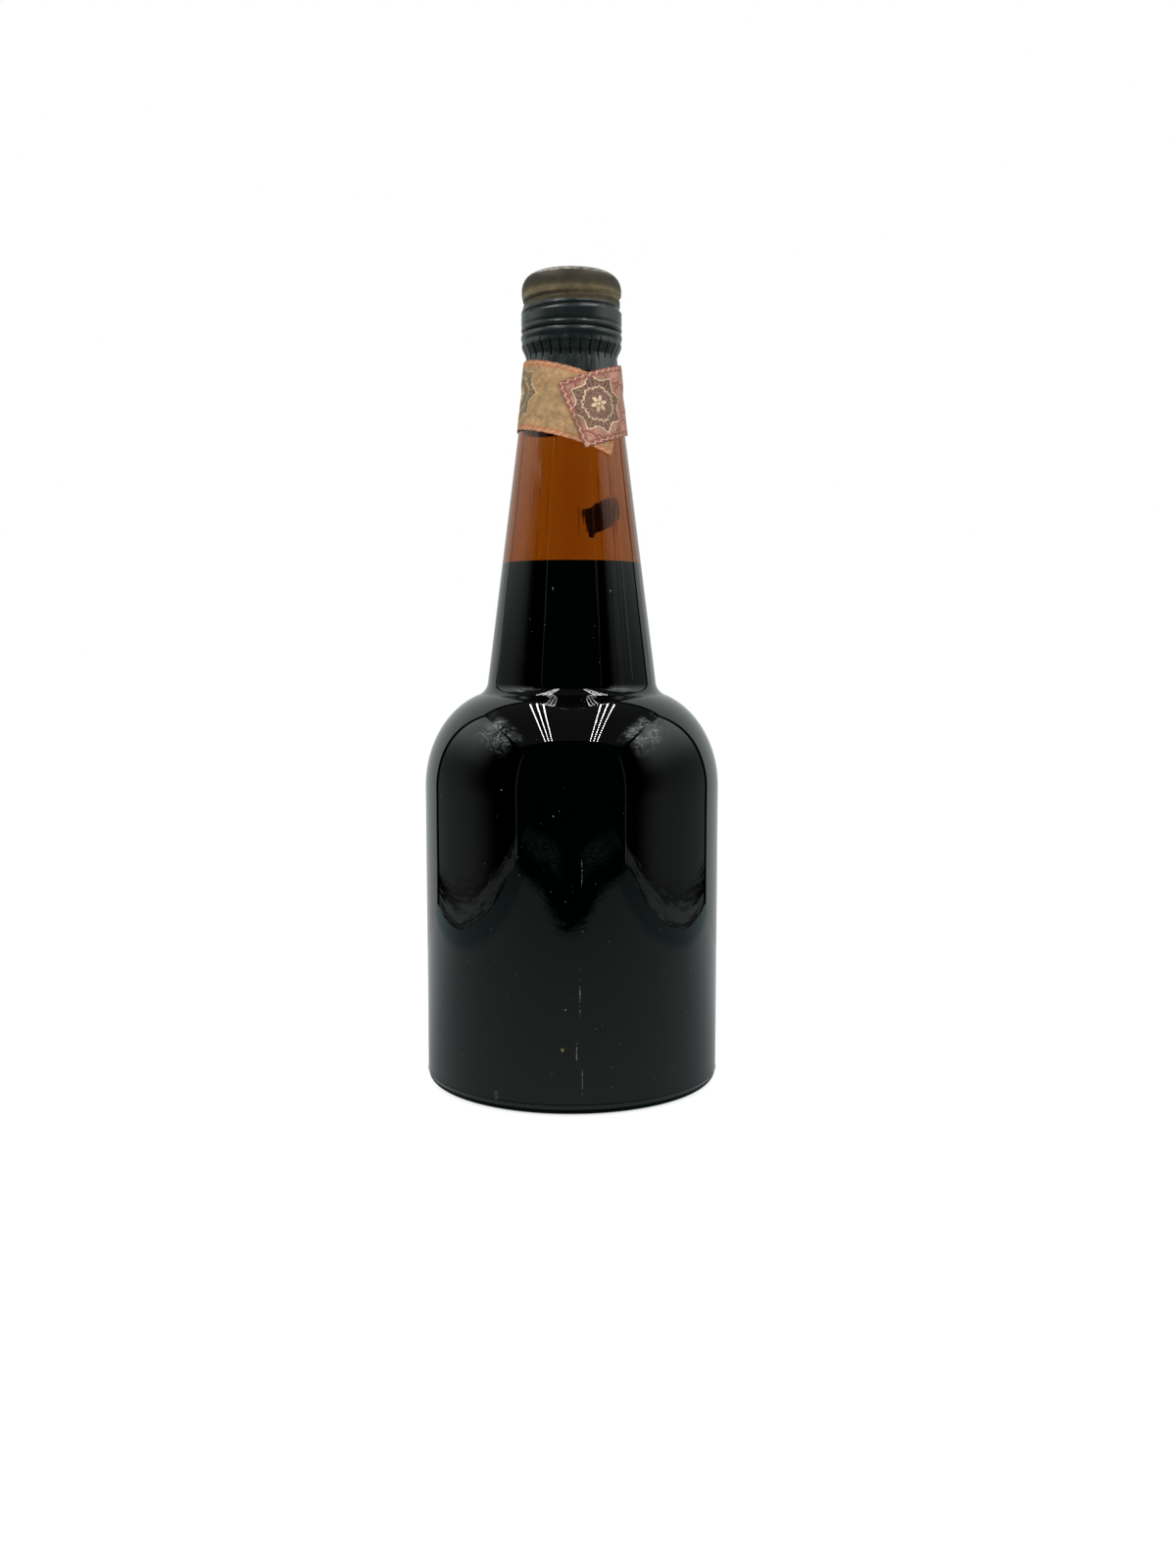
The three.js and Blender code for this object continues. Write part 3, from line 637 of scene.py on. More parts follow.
# Geometry Nodes: slanting rows of flat lamps, one row from each start point
def lampRowTree():
    tree, given = startTree("lampRow", "Starts", {"Count": 20, "Length": 0.4, "Slant": 0.0, "Dot": 0.005,
                                                  "Long": 1.0})
    gap = addNode(tree, "ShaderNodeMath", [given["Length"], given["Count"]], operation="DIVIDE")
    aside = addNode(tree, "ShaderNodeMath", [gap, given["Slant"]], operation="MULTIPLY")
    step = addNode(tree, "ShaderNodeCombineXYZ", [aside, gap, 0.0])
    row = addNode(tree, "GeometryNodeMeshLine", {"Count": given["Count"], "Offset": step}, mode="OFFSET")
    disc = addNode(tree, "GeometryNodeMeshCircle", {"Vertices": 10, "Radius": given["Dot"]}, fill_type="NGON")
    stretch = addNode(tree, "ShaderNodeCombineXYZ", [1.0, given["Long"], 1.0])
    disc = addNode(tree, "GeometryNodeTransform", {"Geometry": disc, "Scale": stretch})
    rows = addNode(tree, "GeometryNodeMeshToPoints", [given["Starts"]])
    lines = addNode(tree, "GeometryNodeInstanceOnPoints", {"Points": rows, "Instance": row})
    lines = addNode(tree, "GeometryNodeRealizeInstances", [lines])
    dots = addNode(tree, "GeometryNodeInstanceOnPoints", {"Points": lines, "Instance": disc})
    return finishTree(tree, dots, given["Material"])


def makeLampRows():
    p = lampSettings
    material, tree = emptyMaterial("lampDot")
    glow = addNode(tree, "ShaderNodeEmission", [linear(p["colour"]), p["strength"]])
    addNode(tree, "ShaderNodeOutputMaterial", [glow])
    z = tentSettings["height"] - 0.003
    length = p["back"] - p["front"]
    rowTree = lampRowTree()
    for name, side in (("lampRowsLeft", -1), ("lampRowsRight", 1)):
        starts = [(side * x, p["front"], z) for x in p["rowX"]]
        rows = grown(name, rowTree, meshObject(name + "Starts", starts), {
            "Count": round(length / p["pitch"]),
            "Length": length,
            "Slant": -side * p["slant"],
            "Dot": p["dot"],
            "Long": p["long"],
            "Material": material,
        })
        onlyMirrored(rows)


makeLampRows()

# Two soft panels above, for the shape of the dull surfaces
panelSettings = {"x": 0.20, "y": -0.18, "z": 0.46, "size": 0.26, "power": 1.1, "aim": (0, 0, 0.2)}


def makePanels():
    p = panelSettings
    for side in (-1, 1):
        lamp = bpy.data.lights.new("softPanel", "AREA")
        lamp.size = p["size"]
        lamp.energy = p["power"]
        panel = bpy.data.objects.new("softPanel", lamp)
        panel.location = (side * p["x"], p["y"], p["z"])
        aim = np.array(p["aim"]) - np.array(panel.location)
        panel.rotation_euler = (math.atan2(math.hypot(aim[0], aim[1]), -aim[2]), 0,
                                math.atan2(aim[1], aim[0]) - math.pi / 2)
        panel.visible_glossy = False
        panel.visible_transmission = False
        bpy.context.scene.collection.objects.link(panel)


makePanels()
print("room, floor and tent ready")

# Amber container glass, blown in a mould: clear and hard, with soft ripples, a warm brown depth and
# fine upright lines that the mould has drawn along the neck; where liqueur lies behind it, almost no
# light comes through and only its gloss shows
glassFinish = {
    "ior": 1.5,
    "roughness": 0.0,
    "absorb": (0.765, 0.535, 0.0, 1),
    "density": 1100.0,
    "backed": "#010100",
    "lineCircle": 20.0,
    "lineSpacing": 1.613,
    "lineLength": 0.005,
    "lineDepth": 0.08,
    "linesFrom": (125.0, 140.0),
}


# The lines run up the neck's cone, so the noise is read round a circle and hardly along its height
def drawnLines(tree, split):
    g = glassFinish
    flat = addNode(tree, "ShaderNodeCombineXYZ", [split.outputs["X"], split.outputs["Y"], 0.0])
    flat = addNode(tree, "ShaderNodeVectorMath", [flat], operation="NORMALIZE")
    rise = addNode(tree, "ShaderNodeMath", [split.outputs["Z"], g["lineLength"]], operation="MULTIPLY")
    rise = addNode(tree, "ShaderNodeCombineXYZ", [0.0, 0.0, rise])
    circle = g["lineCircle"] * mm
    drawn = addNode(tree, "ShaderNodeVectorMath", [flat, (circle, circle, circle), rise],
                    operation="MULTIPLY_ADD")
    lines = addNode(tree, "ShaderNodeTexNoise", {"Vector": drawn, "Scale": perMetre(g["lineSpacing"]),
                                                 "Detail": 3.0})
    sharp = addNode(tree, "ShaderNodeMapRange", [lines.outputs[0], 0.56, 0.62, 0.0, 1.0],
                    interpolation_type="SMOOTHSTEP")
    height = addNode(tree, "ShaderNodeMath", [lines.outputs[0], 0.5, sharp], operation="MULTIPLY_ADD")
    low, high = g["linesFrom"]
    onNeck = addNode(tree, "ShaderNodeMapRange", [split.outputs["Z"], low * mm, high * mm, 0.0, 1.0])
    height = addNode(tree, "ShaderNodeMath", [height, onNeck], operation="MULTIPLY")
    return addNode(tree, "ShaderNodeBump",
                   {"Strength": 1.0, "Distance": g["lineDepth"] * mm, "Height": height})


def amberGlass():
    g = glassFinish
    material, tree = emptyMaterial("amberGlassBlown")
    place = addNode(tree, "ShaderNodeTexCoord").outputs["Object"]
    split = addNode(tree, "ShaderNodeSeparateXYZ", [place])
    level = bottleSizes["fillLevel"] * mm
    clear = addNode(tree, "ShaderNodeMapRange", [split.outputs["Z"], level - 0.0002, level, 0.0, 1.0])
    tint = addNode(tree, "ShaderNodeMix", {0: clear, 6: linear(g["backed"]), 7: grey(1)}, data_type="RGBA")
    glass = addNode(tree, "ShaderNodeBsdfPrincipled",
                    {"Base Color": tint.outputs[2], "Transmission Weight": 1.0, "IOR": g["ior"],
                     "Roughness": g["roughness"], "Normal": drawnLines(tree, split)})
    depth = addNode(tree, "ShaderNodeVolumeAbsorption", [g["absorb"], g["density"]])
    addNode(tree, "ShaderNodeOutputMaterial", {"Surface": glass, "Volume": depth})
    return material


glassPieceSettings = {
    "columns": 200,
    "bearingWidth": 4.0,
    "puntRise": 4.0,
    "baseThickness": 5.6,
    "cavityHeel": 7.0,
    "beadTop": 239.0,
    "beadHeight": 5.4,
    "beadStep": 0.8,
    "beadRound": 1.2,
    "lipStep": 0.45,
    "lipHeight": 2.2,
    "lipRound": 1.1,
    "boreRadius": 9.4,
    "boreLength": 17.4,
    # The mould's seam round the heel: its height, how far it stands out above, and the step under it
    "seamHeight": 3.5,
    "seamStand": 0.14,
    "seamStep": 0.34,
    "ridgeHeight": 0.5,
    "ridgeFoot": 1.0,
    "ridgeCrest": 0.35,
    # The ridge starts later and ends sooner than the cap's groove, by so many degrees
    "ridgeLag": 40,
    "ridgeLead": 60,
    "ripple": 0.14,
    "rippleScale": 32.0,
}


def makeGlass():
    s, g = bottleSizes, glassPieceSettings
    bearingOuter = s["bodyRadius"] - s["heelRun"]
    wallRadius = s["bodyRadius"] - g["seamStand"]
    heelRadius = s["bodyRadius"] - g["seamStep"]
    beadRadius = s["rootRadius"] + g["beadStep"]
    beadFoot = g["beadTop"] - g["beadHeight"]
    lipRadius = s["rootRadius"] - g["lipStep"]
    top = s["glassHeight"]
    shoulder = shoulderProfile(0, 56, 24)
    atLevel = (neckRadius(s["fillLevel"]), s["fillLevel"])
    innerLevel = (atLevel[0] - s["wall"] / math.cos(taper), s["fillLevel"])
    outside = [
        *ellipseArc(0, 0, bearingOuter - g["bearingWidth"], g["puntRise"], 90, 0, 24),
        *ellipseArc(bearingOuter, s["heelRise"], heelRadius - bearingOuter, s["heelRise"], -90, 0, 16),
        (heelRadius, g["seamHeight"] - 0.3),
        (heelRadius + 0.04, g["seamHeight"] - 0.2),
        (s["bodyRadius"], g["seamHeight"]),
        (wallRadius + 0.02, g["seamHeight"] + 0.14),
        (wallRadius, g["seamHeight"] + 0.25),
        *straightRun((wallRadius, g["seamHeight"] + 0.6), (s["bodyRadius"], s["wallTop"]), 2.0),
        *shoulder,
        *straightRun(shoulder[-1], atLevel, 2.0),
        atLevel,
        *straightRun(atLevel, (s["neckTopRadius"], s["neckTop"]), 2.5),
        (s["neckTopRadius"], s["neckTop"]),
        *ellipseArc(s["neckTopRadius"], beadFoot + g["beadRound"], beadRadius - s["neckTopRadius"],
                    g["beadRound"], -90, 0, 8),
        *ellipseArc(s["rootRadius"], g["beadTop"] - g["beadRound"], g["beadStep"], g["beadRound"], 0, 90, 8),
        *straightRun((s["rootRadius"], g["beadTop"]), (s["rootRadius"], top - g["lipHeight"]), 0.2),
        (s["rootRadius"], top - g["lipHeight"]),
        (lipRadius, top - g["lipHeight"] + g["lipStep"]),
        *ellipseArc(lipRadius - g["lipRound"], top - g["lipRound"], g["lipRound"], g["lipRound"], 0, 90, 10),
    ]
    innerNeck = (neckRadius(s["neckTop"]) - s["wall"], s["neckTop"])
    innerShoulder = shoulderProfile(s["wall"], 40, 16)[::-1]
    floorZ = g["puntRise"] + g["baseThickness"]
    cornerCentre = s["bodyRadius"] - s["wall"] - g["cavityHeel"]
    lowest = floorZ - g["puntRise"]
    inside = [
        *ellipseArc(g["boreRadius"] + g["lipRound"], top - g["lipRound"], -g["lipRound"], g["lipRound"],
                    90, 0, 10),
        (g["boreRadius"], top - g["boreLength"]),
        innerNeck,
        *lobed(straightRun(innerNeck, innerLevel, 3.0)),
        *lobed([innerLevel]),
        *lobed(straightRun(innerLevel, innerShoulder[0], 3.0)),
        *innerShoulder,
        *ellipseArc(cornerCentre, lowest + g["cavityHeel"], g["cavityHeel"], g["cavityHeel"], 0, -90, 14),
        *ellipseArc(0, lowest, cornerCentre, g["puntRise"], 0, 90, 16)[1:],
    ]
    piece = turnedFrom("bottleGlassBlown", outside + inside, {
        "Columns": g["columns"],
        "Thread Rise": g["ridgeHeight"] * mm,
        "Thread Height": (grooveAtX - s["pitch"] / 2) * mm,
        "Thread Foot": g["ridgeFoot"] * mm,
        "Thread Crest": g["ridgeCrest"] * mm,
        "Thread Start": s["threadStart"] + g["ridgeLag"],
        "Thread End": s["threadEnd"] - g["ridgeLead"],
        "Threaded From": 12 * mm,
        "Ripple": g["ripple"] * mm,
        "Ripple Scale": g["rippleScale"],
        "Ripple From": 15.2 * mm,
        "Material": amberGlass(),
    })
    settle(piece, "bottle", "bottle_glass")


makeGlass()
print("glass ready")

# Dark bitter liqueur: near black in bulk, a red-brown at its thin edge
liqueurSettings = {
    "overlap": 0.08,
    "meniscus": 1.1,
    "colour": "#050302",
    "roughness": 0.05,
    "ior": 1.36,
    "gloss": 0.08,
}


def darkLiqueur():
    q = liqueurSettings
    material, tree = emptyMaterial("bitterLiqueurStill")
    liquid = addNode(tree, "ShaderNodeBsdfPrincipled",
                     {"Base Color": linear(q["colour"]), "Roughness": q["roughness"], "IOR": q["ior"],
                      "Specular IOR Level": q["gloss"]})
    addNode(tree, "ShaderNodeOutputMaterial", [liquid])
    return material


def makeLiqueur():
    s, g = bottleSizes, glassPieceSettings
    inset = s["wall"] - liqueurSettings["overlap"]
    corner = g["cavityHeel"]
    cornerCentre = s["bodyRadius"] - inset - corner
    lowest = g["baseThickness"] - liqueurSettings["overlap"]
    shoulder = shoulderProfile(inset, 40, 16)
    level = s["fillLevel"]
    rim = neckRadius(level) - inset / math.cos(taper)
    profile = [
        *ellipseArc(0, lowest, cornerCentre, g["puntRise"], 90, 0, 16)[:-1],
        *ellipseArc(cornerCentre, lowest + corner, corner, corner, -90, 0, 14),
        *shoulder,
        *lobed(straightRun(shoulder[-1], (rim, level), 3.0)),
        (rim, level, neckLobe(level)),
    ]
    # The surface falls away from the glass in a meniscus, and the neck's lobe fades towards the middle
    dip = liqueurSettings["meniscus"]
    for part in (0.04, 0.1, 0.2, 0.35, 0.55, 0.8):
        profile.append((rim * (1 - part * 0.35), level - dip * (1 - math.exp(-part * 5)),
                        neckLobe(level) * (1 - part)))
    profile.append((0, level - dip))
    piece = turnedFrom("liqueurFill", profile, {"Columns": 128, "Material": darkLiqueur()})
    settle(piece, "bottle", "liqueur")


makeLiqueur()
print("liqueur ready")

# Lacquered aluminium, rolled: bronze lacquer worn dull above, blue-black enamel below
capSettings = {
    "columns": 240,
    "sheet": 0.3,
    "capRadius": 15.75,
    "barrelRadius": 15.9,
    "bottom": 239.4,
    "top": 257.5,
    "hem": 0.9,
    "cornerRun": 4.6,
    "cornerRise": 5.2,
    "waist": 0.4,
    "barrelTop": 244.6,
    "grooveDepth": 0.55,
    "grooveHalf": 1.0,
    # Heights between which the wall narrows above the barrel, and rolls and dips at the hem
    "narrowed": (0.7, 2.7),
    "widened": (-3.3, -1.1),
    "hemRound": 0.45,
    "roll": 0.08,
    "rollEnd": (240.2, 240.9),
    "dip": 0.14,
    "dipFoot": (240.35, 240.95),
    "dipTop": (241.0, 242.0),
    "ripple": 0.02,
    "rippleScale": 70.0,
    "colourLine": 247.1,
    "lineBlur": 0.4,
    "lineStray": 0.9,
    "cloudSize": 3.03,
    "scuffLength": 2.0,
    "scuffWidth": 0.3846,
    # Painted light and shade on the bronze, from the waist to the top corner: lighter where the flare faces
    # the floor, darker at the waist and towards the top
    "paintedShadingEnds": (246.0, 258.0),
    "paintedShading": ((0.03, 0.45), (0.13, 0.28), (0.22, 0.20), (0.28, 0.45), (0.325, 1.0), (0.40, 0.85),
               (0.45, 0.42), (0.525, 0.22), (0.62, 0.13), (0.79, 0.09), (0.88, 0.15), (0.95, 0.35)),
    "rubbedLine": 256.35,
    "rubbedFade": (0.1, 0.4),
    "thinFrom": (256.4, 256.8),
    "bronze": "#8f8060",
    "bronzeDark": "#655a42",
    "bronzeWorn": "#a5a193",
    "enamel": "#0d1514",
    "enamelWorn": "#161f1e",
}


# Bronze lacquer: cloudy, with painted light and shade from the waist to the top corner, rubbed through in a
# broken
# # line round that corner, and thin above it
def bronzeLacquer(tree, split, scuff, tone):
    c = capSettings
    bronze = addNode(tree, "ShaderNodeMix", {0: tone, 6: linear(c["bronzeDark"]), 7: linear(c["bronze"])},
                     data_type="RGBA")
    # Painted light and shade: a ramp by height lightens and darkens the bronze where light falls on the cap's
    # shape
    low, high = c["paintedShadingEnds"]
    shadingPlace = addNode(tree, "ShaderNodeMapRange", [split.outputs["Z"], low * mm, high * mm, 0.0, 1.0])
    ramp = addNode(tree, "ShaderNodeValToRGB", [shadingPlace])
    fillRamp(ramp, c["paintedShading"], (1, 1, 0.99))
    bronze = addNode(tree, "ShaderNodeMix", {0: 1.0, 6: bronze.outputs[2], 7: ramp.outputs[0]},
                     data_type="RGBA", blend_type="MULTIPLY")
    line = addNode(tree, "ShaderNodeMath", [split.outputs["Z"], c["rubbedLine"] * mm], operation="SUBTRACT")
    line = addNode(tree, "ShaderNodeMath", [line], operation="ABSOLUTE")
    solid, faint = c["rubbedFade"]
    line = addNode(tree, "ShaderNodeMapRange", [line, solid * mm, faint * mm, 1.0, 0.0])
    foot, full = c["thinFrom"]
    above = addNode(tree, "ShaderNodeMapRange", [split.outputs["Z"], foot * mm, full * mm, 0.0, 0.12])
    rubbed = addNode(tree, "ShaderNodeMapRange", [scuff.outputs[0], 0.44, 0.60, 0.0, 1.0])
    rubbed = addNode(tree, "ShaderNodeMath", [rubbed, line], operation="MULTIPLY")
    rubbed = addNode(tree, "ShaderNodeMath", [rubbed, above], operation="MAXIMUM")
    bronze = addNode(tree, "ShaderNodeMix", {0: rubbed, 6: bronze.outputs[2], 7: linear(c["bronzeWorn"])},
                     data_type="RGBA")
    return bronze.outputs[2]


def lacqueredSheet():
    c = capSettings
    material, tree = emptyMaterial("lacqueredAluminiumRolled")
    place = addNode(tree, "ShaderNodeTexCoord").outputs["Object"]
    split = addNode(tree, "ShaderNodeSeparateXYZ", [place])
    # Cloudy wear a few mm across, and fine scuffs that run round the cap
    cloud = addNode(tree, "ShaderNodeTexNoise", {"Vector": place, "Scale": perMetre(c["cloudSize"]),
                                                 "Detail": 5.0, "Roughness": 0.55})
    along, up = perMetre(c["scuffLength"]), perMetre(c["scuffWidth"])
    stretched = addNode(tree, "ShaderNodeMapping", {"Vector": place, "Scale": (along, along, up)})
    scuff = addNode(tree, "ShaderNodeTexNoise", {"Vector": stretched, "Scale": 1.0, "Detail": 3.0})
    tone = addNode(tree, "ShaderNodeMapRange", [cloud.outputs[0], 0.30, 0.70, 0.1, 0.9])
    bronze = bronzeLacquer(tree, split, scuff, tone)
    dusty = addNode(tree, "ShaderNodeMapRange", [cloud.outputs[0], 0.5, 0.75, 0.0, 0.8])
    enamel = addNode(tree, "ShaderNodeMix", {0: dusty, 6: linear(c["enamel"]), 7: linear(c["enamelWorn"])},
                     data_type="RGBA")
    # Soft, slightly uneven line where the two colours meet
    uneven = addNode(tree, "ShaderNodeMath", [cloud.outputs[0], c["lineStray"] * mm], operation="MULTIPLY")
    height = addNode(tree, "ShaderNodeMath", [split.outputs["Z"], uneven], operation="ADD")
    middle = (c["colourLine"] + c["lineStray"] / 2) * mm
    blur = c["lineBlur"] * mm
    upper = addNode(tree, "ShaderNodeMapRange", [height, middle - blur, middle + blur, 0.0, 1.0],
                    interpolation_type="SMOOTHSTEP")
    colour = addNode(tree, "ShaderNodeMix", {0: upper, 6: enamel.outputs[2], 7: bronze}, data_type="RGBA")
    dull = addNode(tree, "ShaderNodeMapRange", [tone, 0.0, 1.0, 0.5, 0.6])
    gloss = addNode(tree, "ShaderNodeMapRange", [cloud.outputs[0], 0.3, 0.7, 0.28, 0.34])
    roughness = addNode(tree, "ShaderNodeMix", {0: upper, 2: gloss, 3: dull}, data_type="FLOAT")
    metal = addNode(tree, "ShaderNodeMath", [upper, 0.6], operation="MULTIPLY")
    grain = addNode(tree, "ShaderNodeBump", {"Strength": 0.05, "Distance": 0.05 * mm, "Height": cloud})
    sheet = addNode(tree, "ShaderNodeBsdfPrincipled",
                    {"Base Color": colour.outputs[2], "Roughness": roughness.outputs[0], "Metallic": metal,
                     "Normal": grain})
    addNode(tree, "ShaderNodeOutputMaterial", [sheet])
    return material


lacquer = lacqueredSheet()


def makeCap():
    s, c = bottleSizes, capSettings
    cornerFoot = c["top"] - c["cornerRise"]

    def wallAt(z):
        narrowed = float(smoothstep(z, *(c["barrelTop"] + rise for rise in c["narrowed"])))
        widened = float(smoothstep(z, *(cornerFoot + rise for rise in c["widened"])))
        waistRadius = c["capRadius"] - c["waist"]
        dip = float(smoothstep(z, *c["dipFoot"]) * (1 - smoothstep(z, *c["dipTop"])))
        roll = 1 - float(smoothstep(z, *c["rollEnd"]))
        wall = c["barrelRadius"] + (waistRadius - c["barrelRadius"]) * narrowed + c["waist"] * widened
        return wall - c["dip"] * dip + c["roll"] * roll

    def wallProfile(inset):
        hemCentre = c["barrelRadius"] + c["roll"] - c["hemRound"]
        hem = ellipseArc(hemCentre - inset, c["bottom"] + c["hem"], c["hemRound"], c["hem"], -90, 0, 7)
        rows = np.arange(c["bottom"] + c["hem"] + 0.15, cornerFoot, 0.15)
        return hem + [(wallAt(z) - inset, z) for z in rows]

    def corner(inset):
        return ellipseArc(c["capRadius"] - c["cornerRun"], cornerFoot, c["cornerRun"] - inset,
                          c["cornerRise"] - inset, 0, 90, 22)

    outside = [*wallProfile(0), *corner(0), (5, c["top"]), (0, c["top"])]
    inside = [(0, c["top"] - c["sheet"]), (5, c["top"] - c["sheet"]), *corner(c["sheet"])[::-1],
              *wallProfile(c["sheet"])[::-1]]
    piece = turnedFrom("capShellRolled", inside + outside, {
        "Columns": c["columns"],
        "Thread Rise": -c["grooveDepth"] * mm,
        "Thread Height": grooveAtX * mm,
        "Thread Foot": c["grooveHalf"] * mm,
        "Thread Crest": 0.0,
        "Thread Start": s["threadStart"],
        "Thread End": s["threadEnd"],
        "Threaded From": 8 * mm,
        "Ripple": c["ripple"] * mm,
        "Ripple Scale": c["rippleScale"],
        "Ripple From": 8 * mm,
        "Material": lacquer,
    })
    settle(piece, "cap", "cap_shell")


makeCap()
print("cap ready")

bandSettings = {
    "columns": 480,
    "crimp": 0.16,
    "sheet": 0.3,
    "slits": 30,
    "slitWidth": 0.48,
    "slitFoot": 230.4,
    "slitTop": 234.9,
    "slitPhase": 5.0,
    "skirtFoot": 225.2,
    "skirtGap": 0.15,
    # Outside of the crimp and the two ridges above it, as (radius, z) points of one smooth curve
    "crimpCurve": ((14.68, 232.1), (15.0, 232.9), (15.4, 233.7), (15.72, 234.5), (15.85, 235.2),
                   (15.72, 236.4), (16.0, 237.4), (16.0, 238.1), (15.78, 238.8), (15.55, 239.1)),
    "pressedFrom": (226.2, 231.0),
    "pressedTo": (235.2, 236.2),
    # How far each slit's dent reaches, as a share of their spacing, and how deep it is, of the crimp
    "pressReach": (0.14, 0.34),
    "pressAmount": (0.35, 1.0),
    # What is pressed in besides: a lean between slits, the whole band, and small dents
    "lean": 1.2,
    "pressAlways": 0.2,
    "dents": 0.4,
    "dentScale": 700.0,
    "ripple": 0.05,
    "rippleScale": 220.0,
}


# Upright boxes in a ring, one for each slit
def slitCutters(tree, given, each):
    tall = addNode(tree, "ShaderNodeMath", [given["Top"], given["Foot"]], operation="SUBTRACT")
    middle = addNode(tree, "ShaderNodeMath", [given["Top"], given["Foot"]], operation="ADD")
    middle = addNode(tree, "ShaderNodeMath", [middle, 0.5], operation="MULTIPLY")
    size = addNode(tree, "ShaderNodeCombineXYZ", [0.004, given["Width"], tall])
    cutter = addNode(tree, "GeometryNodeMeshCube", [size])
    ring = addNode(tree, "GeometryNodeMeshCircle", {"Vertices": given["Slits"], "Radius": given["Radius"]})
    points = addNode(tree, "GeometryNodeMeshToPoints", [ring])
    number = addNode(tree, "GeometryNodeInputIndex")
    turn = addNode(tree, "ShaderNodeMath", [number, each], operation="MULTIPLY")
    heading = addNode(tree, "ShaderNodeCombineXYZ", [0.0, 0.0, turn])
    cutters = addNode(tree, "GeometryNodeInstanceOnPoints",
                      {"Points": points, "Instance": cutter, "Rotation": heading})
    cutters = addNode(tree, "GeometryNodeRealizeInstances", [cutters])
    spin = addNode(tree, "ShaderNodeCombineXYZ", [0.0, 0.0, given["Phase"]])
    raised = addNode(tree, "ShaderNodeCombineXYZ", [0.0, 0.0, middle])
    return addNode(tree, "GeometryNodeTransform",
                   {"Geometry": cutters, "Translation": raised, "Rotation": spin})


# How far a place is pressed in: most at a slit, by another amount, width and lean at each of them
def unevenPress(tree, given, each, place, split):
    b = bandSettings
    angle = addNode(tree, "ShaderNodeMath", [split.outputs["Y"], split.outputs["X"]], operation="ARCTAN2")
    angle = addNode(tree, "ShaderNodeMath", [angle, given["Phase"]], operation="SUBTRACT")
    count = addNode(tree, "ShaderNodeMath", [angle, each], operation="DIVIDE")
    nearest = addNode(tree, "ShaderNodeMath", [count], operation="ROUND")
    off = addNode(tree, "ShaderNodeMath", [count, nearest], operation="SUBTRACT")
    slit = addNode(tree, "ShaderNodeMath", [nearest, given["Slits"]], operation="FLOORED_MODULO")
    slit = addNode(tree, "ShaderNodeMath", [slit, given["Seed"]], operation="ADD")
    luck = addNode(tree, "ShaderNodeTexWhiteNoise", {"W": slit}, noise_dimensions="1D")
    luck = addNode(tree, "ShaderNodeSeparateXYZ", [luck.outputs["Color"]])
    aside = addNode(tree, "ShaderNodeMath", [off], operation="ABSOLUTE")
    reach = addNode(tree, "ShaderNodeMapRange", [luck.outputs["X"], 0.0, 1.0, *b["pressReach"]])
    press = addNode(tree, "ShaderNodeMapRange", [aside, 0.0, reach, 1.0, 0.0],
                    interpolation_type="SMOOTHERSTEP")
    amount = addNode(tree, "ShaderNodeMapRange", [luck.outputs["Y"], 0.0, 1.0, *b["pressAmount"]])
    press = addNode(tree, "ShaderNodeMath", [press, amount], operation="MULTIPLY")
    tilt = addNode(tree, "ShaderNodeMath", [luck.outputs["Z"], 0.5], operation="SUBTRACT")
    tilt = addNode(tree, "ShaderNodeMath", [tilt, off], operation="MULTIPLY")
    lean = addNode(tree, "ShaderNodeMath", [tilt, b["lean"], b["pressAlways"]], operation="MULTIPLY_ADD")
    press = addNode(tree, "ShaderNodeMath", [press, lean], operation="ADD")
    dents = addNode(tree, "ShaderNodeTexNoise", {"Vector": place, "Scale": b["dentScale"], "Detail": 2.0})
    press = addNode(tree, "ShaderNodeMath", [dents.outputs[0], b["dents"], press], operation="MULTIPLY_ADD")
    low, full = (z * mm for z in b["pressedFrom"])
    below = addNode(tree, "ShaderNodeMapRange", [split.outputs["Z"], low, full, 0.15, 1.0])
    fade, high = (z * mm for z in b["pressedTo"])
    above = addNode(tree, "ShaderNodeMapRange", [split.outputs["Z"], fade, high, 1.0, 0.0],
                    interpolation_type="SMOOTHSTEP")
    press = addNode(tree, "ShaderNodeMath", [press, below], operation="MULTIPLY")
    press = addNode(tree, "ShaderNodeMath", [press, above], operation="MULTIPLY")
    return addNode(tree, "ShaderNodeMath", [press, given["Crimp"]], operation="MULTIPLY")


# Geometry Nodes: presses a band in unevenly at each of its slits, then cuts them
def slitBandTree():
    tree, given = startTree("slitBand", "Band", {
        "Slits": 30,
        "Radius": 0.0155,
        "Width": 0.00035,
        "Foot": 0.2327,
        "Top": 0.2348,
        "Phase": 0.0,
        "Crimp": 0.0001,
        "Seed": 3.0,
    })
    each = addNode(tree, "ShaderNodeMath", [math.tau, given["Slits"]], operation="DIVIDE")
    place = addNode(tree, "GeometryNodeInputPosition")
    split = addNode(tree, "ShaderNodeSeparateXYZ", [place])
    press = unevenPress(tree, given, each, place, split)
    inwards = addNode(tree, "ShaderNodeMath", [press, -1.0], operation="MULTIPLY")
    level = addNode(tree, "ShaderNodeCombineXYZ", [split.outputs["X"], split.outputs["Y"], 0.0])
    outwards = addNode(tree, "ShaderNodeVectorMath", [level], operation="NORMALIZE")
    push = addNode(tree, "ShaderNodeVectorMath", {0: outwards, "Scale": inwards}, operation="SCALE")
    pressed = addNode(tree, "GeometryNodeSetPosition", {"Geometry": given["Band"], "Offset": push})
    cut = addNode(tree, "GeometryNodeMeshBoolean", {0: pressed, 1: slitCutters(tree, given, each)},
                  operation="DIFFERENCE", solver="EXACT")
    smooth = addNode(tree, "GeometryNodeSetShadeSmooth", {"Geometry": cut})
    return finishTree(tree, smooth, given["Material"])


